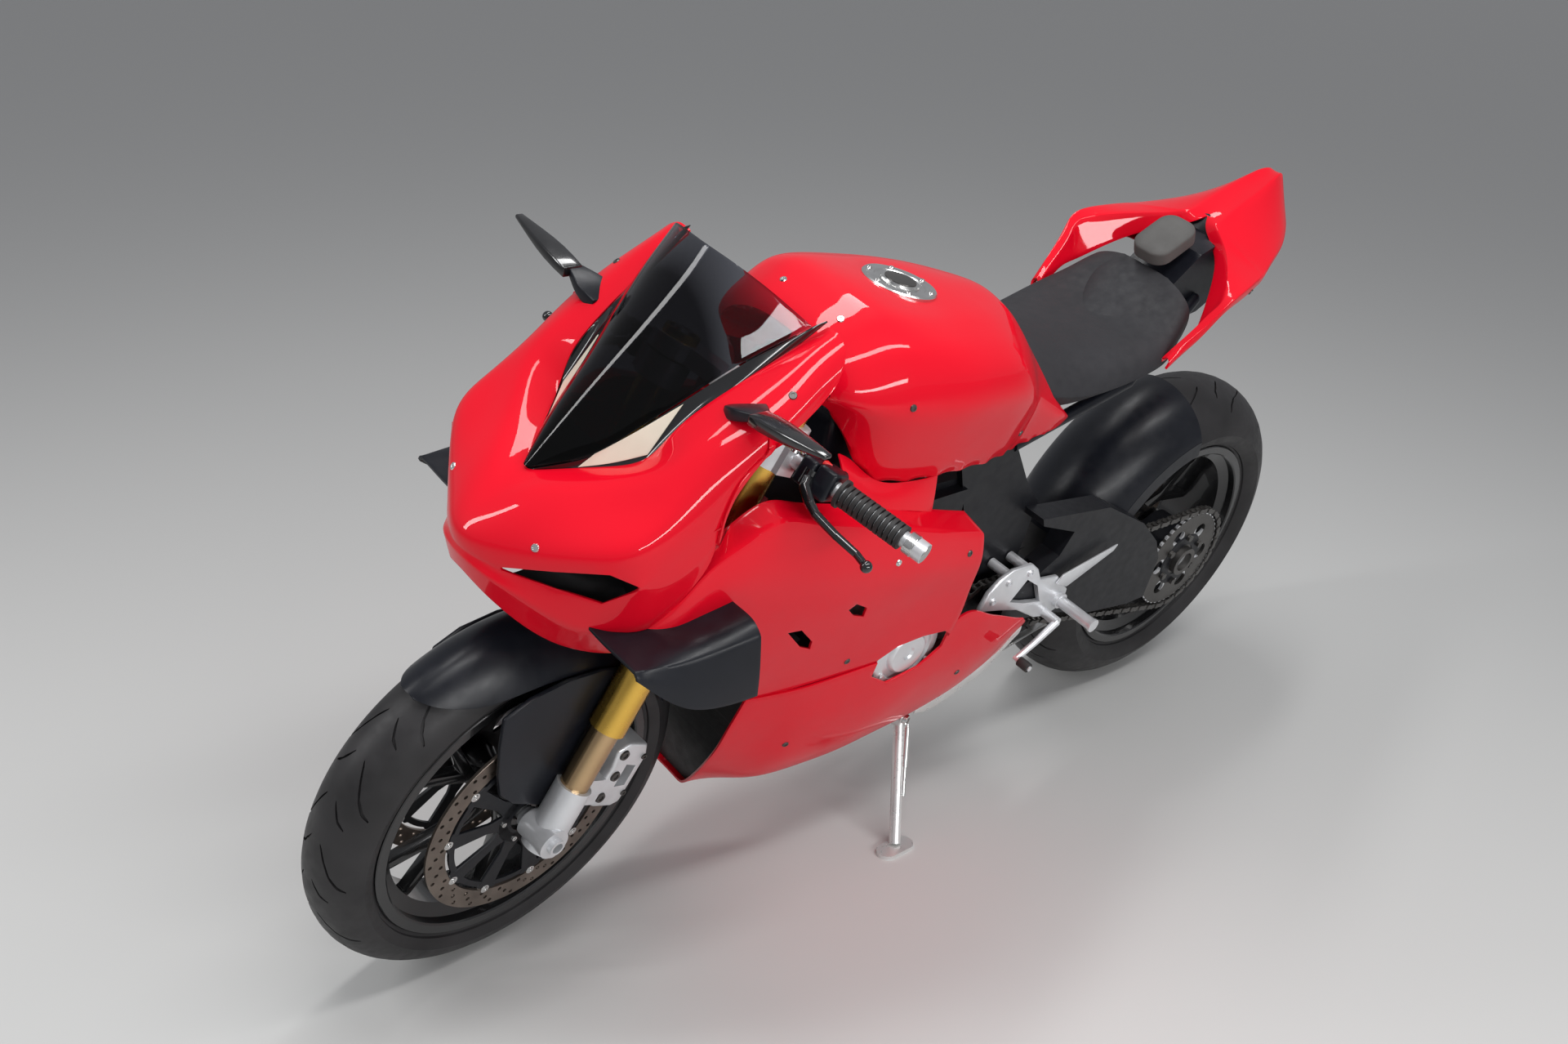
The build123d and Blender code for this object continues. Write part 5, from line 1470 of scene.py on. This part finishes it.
# %% [markdown]
# ### Airbox front
# Under the front of the tank the airbox closes the view between the frame's rails. It is a
# moulded box, so its side view is drawn, pulled out to both sides and its edges are rounded.

# %% Airbox front
airbox_side = [
    (1066, 806), (1068, 870), (1046, 902), (966, 902), (932, 812), (962, 784), (1030, 784),
]
airbox = soften(prism(airbox_side, -96, 96), 9, 3)
hard_piece("airbox_front", airbox, black_plastic, on_chassis, "intake_liners")

# %% [markdown]
# ### Mirrors
# Each mirror is a slim blade on a short arm, its glass facing back. A box is cut into slices
# along its length, and each slice is then set to its own place, chord and thickness.


# %% Mirrors
def tapered(root, tip, chords, depths):
    """A left and a right box between two points; chord and depth change from root to tip."""
    form = bmesh.new()
    root, tip = Vector(root), Vector(tip)
    bmesh.ops.create_cube(form, size=1)
    long = [edge for edge in form.edges if abs(edge.verts[0].co.y - edge.verts[1].co.y) > 0.5]
    bmesh.ops.subdivide_edges(form, edges=long, cuts=5, use_grid_fill=True)
    for vert in form.verts:
        share = vert.co.y + 0.5
        swell = sin(pi * share) * 0.35 + 1
        chord, depth = (
            (ends[0] * (1 - share) + ends[1] * share) * swell for ends in (chords, depths)
        )
        offset = Vector((vert.co.x * chord, 0, vert.co.z * depth))
        vert.co = root.lerp(tip, share) + offset
    return mirrored(form)


blades = tapered((1312, 196, 992), (1318, 325, 1015), (30, 12), (15, 6))
hard_piece("mirror_blades", soften(blades, 2.4, 3), gloss_black, on_chassis, "mirrors", "mirrors")
arms = tapered((1292, 140, 970), (1306, 200, 993), (46, 22), (15, 10))
hard_piece("mirror_arms", soften(arms, 1.8, 3), black_plastic, on_chassis, "mirrors")

# %% [markdown]
# ### Tail pad
# A small firm cushion fills the opening of the tail. It is a slab with round corners whose top
# edge is rolled over and whose top swells a little towards the middle.

# %% Tail pad
long, wide, thick = 102, 72, 24
pad = bmesh.new()
bmesh.ops.create_cube(pad, size=1, matrix=Matrix.Diagonal((long, wide, thick, 1)))
corners = [edge for edge in pad.edges if abs(edge.verts[0].co.z - edge.verts[1].co.z) > 20]
bmesh.ops.bevel(
    pad, geom=corners, offset=26, segments=8, profile=0.5, affect="EDGES", material=-1,
)
top = max(pad.faces, key=lambda face: face.calc_center_median().z)
for thickness, depth in ((8, 5), (14, 3)):
    bmesh.ops.inset_region(pad, faces=[top], thickness=thickness, depth=depth)
tilt = Matrix.Translation((262, 0, 980)) @ Matrix.Rotation(atan2(0.48, 1), 4, "Y")
bmesh.ops.transform(pad, matrix=tilt @ Matrix.Translation((-12, 0, 9)), verts=pad.verts)
cushion = new_object("tail_cushion", pad, pad_cover)
rolled = radians(25)
modify(cushion, "BEVEL", width=3, segments=3, limit_method="ANGLE", angle_limit=rolled)
modify(cushion, "SUBSURF", levels=2, render_levels=2)
settle(cushion)
smooth(cushion, 60)
mount(cushion, on_chassis, "tail_pad", "tail_pad")

# %% [markdown]
# ### Cooling mesh
# A woven mesh closes the space in front of the engine. It is a flat board with a bump of fine
# crossed threads, since real wires this thin would need far too many faces.

# %% Mesh below the winglets
mesh_black = finish("mesh_black", (0.02, 0.02, 0.021), 0.5, metal=0.4, grain=600, depth=0.02)
tree = mesh_black.node_tree
threads = tree.nodes.new("ShaderNodeTexBrick")
threads.inputs["Scale"].default_value = 260
threads.inputs["Mortar Size"].default_value = 0.03
link(tree, tree.nodes.new("ShaderNodeTexCoord").outputs["Object"], threads.inputs["Vector"])
bump(tree, threads.outputs["Fac"], tree.nodes["Principled BSDF"], 1.2)
heights = [  # x, half width, z
    (1132, 44, 186), (1146, 98, 268), (1146, 124, 330), (1146, 144, 400), (1148, 158, 468),
]
board_rows = [[(x, half * share, z) for share in (0, 0.5, 1.0)] for x, half, z in heights]
mesh_cage = surface(board_rows, inside=(900, 10, 380))
cooler = panel("cooler_mesh", mesh_cage, mesh_black, wall=3.0, levels=2, rim=0)
mount(cooler, on_chassis, "radiator")

# %% [markdown]
# ### Heat shield
# A pale strip of metal hangs below the belly's rear edge and keeps the exhaust's heat from the
# paint. It follows the edge's own points, and hangs less at its front, where the stand folds up.

# %% Heat shield along the belly's rear edge
shield_edge = [  # points of the edge, and how far the strip hangs below it
    (712, 129, 236, 12), (690, 132, 243, 22), (668, 134, 252, 28), (630, 137, 270, 30),
    (596, 140, 288, 30), (571, 146, 310, 30), (550, 159, 364, 28), (540, 167, 390, 24),
]
strip_rows = []
for x, y, z, drop in shield_edge:
    strip_rows.append([(x, y - 3, z), (x, y - 1, z - drop / 2), (x, y - 3, z - drop)])
strip_cage = surface(strip_rows, inside=(640, 20, 420))
strip = panel("heat_shield_strip", strip_cage, pale_shield, wall=1.6, levels=2, rim=0.3)
mount(strip, on_chassis, "exhaust_shields")

# %% [markdown]
# ### Panel screws
# The panels are held by small screws that stand square on them. Working out a height and a tilt
# on a curved panel by hand is slow, so a ray is sent at the finished piece: where it meets the
# surface is the screw's place, and the surface's normal there is its axis.

# %% Panel screws
fasteners, dark_fasteners = bmesh.new(), bmesh.new()
spots = [
    (nose, (1506, 96), "front", fasteners), (nose, (1250, 186), "top", dark_fasteners),
    (side_panels, (1330, 700), "side", dark_fasteners),
    (side_panels, (1010, 500), "side", dark_fasteners),
    (side_panels, (1000, 700), "side", fasteners),
    (side_panels, (830, 660), "side", dark_fasteners),
    (belly, (1060, 330), "side", dark_fasteners), (belly, (700, 350), "side", dark_fasteners),
    (tank, (1010, 930), "side", dark_fasteners), (tank, (700, 800), "side", dark_fasteners),
    (tank, (1060, 60), "top", fasteners), (tail, (200, 965), "side", dark_fasteners),
]
to_board = bike.inverted()
for made, (first, second), side, form in spots:
    start, aim = {
        "side": ((first, 400, second), (0, -1, 0)), "top": ((first, second, 1300), (0, 0, -1)),
        "front": ((1800, second, 800), (-1, 0, 0)),
    }[side]
    aim = (bike.to_3x3() @ Vector(aim)).normalized()
    hit, where, normal, _ = made.ray_cast(bike @ Vector(start), aim)
    if hit:
        bolt(form, to_board @ where, to_board.to_3x3() @ normal, 5.5, 1.6)
hard_piece("bright_screws", mirrored(fasteners), silver_turned, on_chassis, "nose_fairing")
hard_piece("dark_screws", mirrored(dark_fasteners), dark_steel, on_chassis, "side_fairings")

# %% [markdown]
# ## Finishes of the plain solids
# Eighteen of the frame's solids look right as they are: tubes, clamps, arm, frame and engine. They
# keep their shapes and get their finishes here.

# %% Finishes of the pieces that keep their plain solids
kept = {
    gold: ["fork_outer_tubes"],
    bronze: ["fork_sliders"],
    silver_cast: ["clip_ons", "fork_feet", "rear_calliper", "triple_clamps"],
    pale_shield: ["exhaust_shields", "side_stand"],
    cast_black: ["engine_block", "frame", "swingarm"],
    core_black: ["intake_liners", "radiator"],
    black_plastic: ["rear_hugger", "rear_subframe"],
    dark_steel: ["exhaust_silencer", "rear_shock", "rear_spindle"],
}
for material, names in kept.items():
    for name in names:
        frame["nodes"][name].data.materials.clear()
        frame["nodes"][name].data.materials.append(material)
shown = [name for name, node in frame["nodes"].items() if not node.hide_render]
print("solids kept:", len(shown), "of which without a finish:",
      len(set(shown) - {name for names in kept.values() for name in names}))

# %% [markdown]
# ## Floor and light
# A pale floor stands for a studio, under a dim even sky. The light is plain and soft, from four
# long softboxes: two overhead, one in front and one to the side. Their narrow shapes give the
# lacquer its bright streaks without burning out the paint, which one large lamp would do.

# %% Floor and sky
floor_grey, _, shader, _ = new_material("floor_grey")
shader.inputs["Base Color"].default_value = (0.56, 0.56, 0.55, 1)
shader.inputs["Roughness"].default_value = 0.6
floor_form = bmesh.new()
bmesh.ops.create_grid(floor_form, x_segments=1, y_segments=1, size=60)
floor = new_object("floor", floor_form, floor_grey)
world = bpy.data.worlds.new("studio")
world.use_nodes = True
sky = world.node_tree.nodes["Background"]
sky.inputs["Color"].default_value = (0.62, 0.63, 0.66, 1)
sky.inputs["Strength"].default_value = 0.5
bpy.context.scene.world = world
print("floor and sky")


# %% Lamps
def softbox(name, place, aim, size, watts):
    lamp = bpy.data.lights.new(name, "AREA")
    lamp.shape, lamp.size, lamp.size_y, lamp.energy = "RECTANGLE", *size, watts
    holder = bpy.data.objects.new(name, lamp)
    to_aim = (Vector(aim) - Vector(place)).to_track_quat("-Z", "Y").to_matrix().to_4x4()
    holder.matrix_world = Matrix.Translation(place) @ to_aim
    bpy.context.scene.collection.objects.link(holder)


softbox("overhead_left", (0.2, 1.2, 3.0), (0, 0, 0.5), (3.2, 0.3), 44)
softbox("overhead_right", (0.2, -0.6, 3.2), (0, 0, 0.5), (3.2, 0.3), 34)
softbox("front", (2.7, -1.2, 2.1), (0.4, 0, 0.6), (0.3, 1.8), 26)
softbox("side", (0.7, 3.4, 1.5), (0, 0, 0.4), (3.2, 0.3), 56)
bpy.context.scene.view_settings.view_transform = "Standard"
print(len(bpy.data.lights), "lamps")
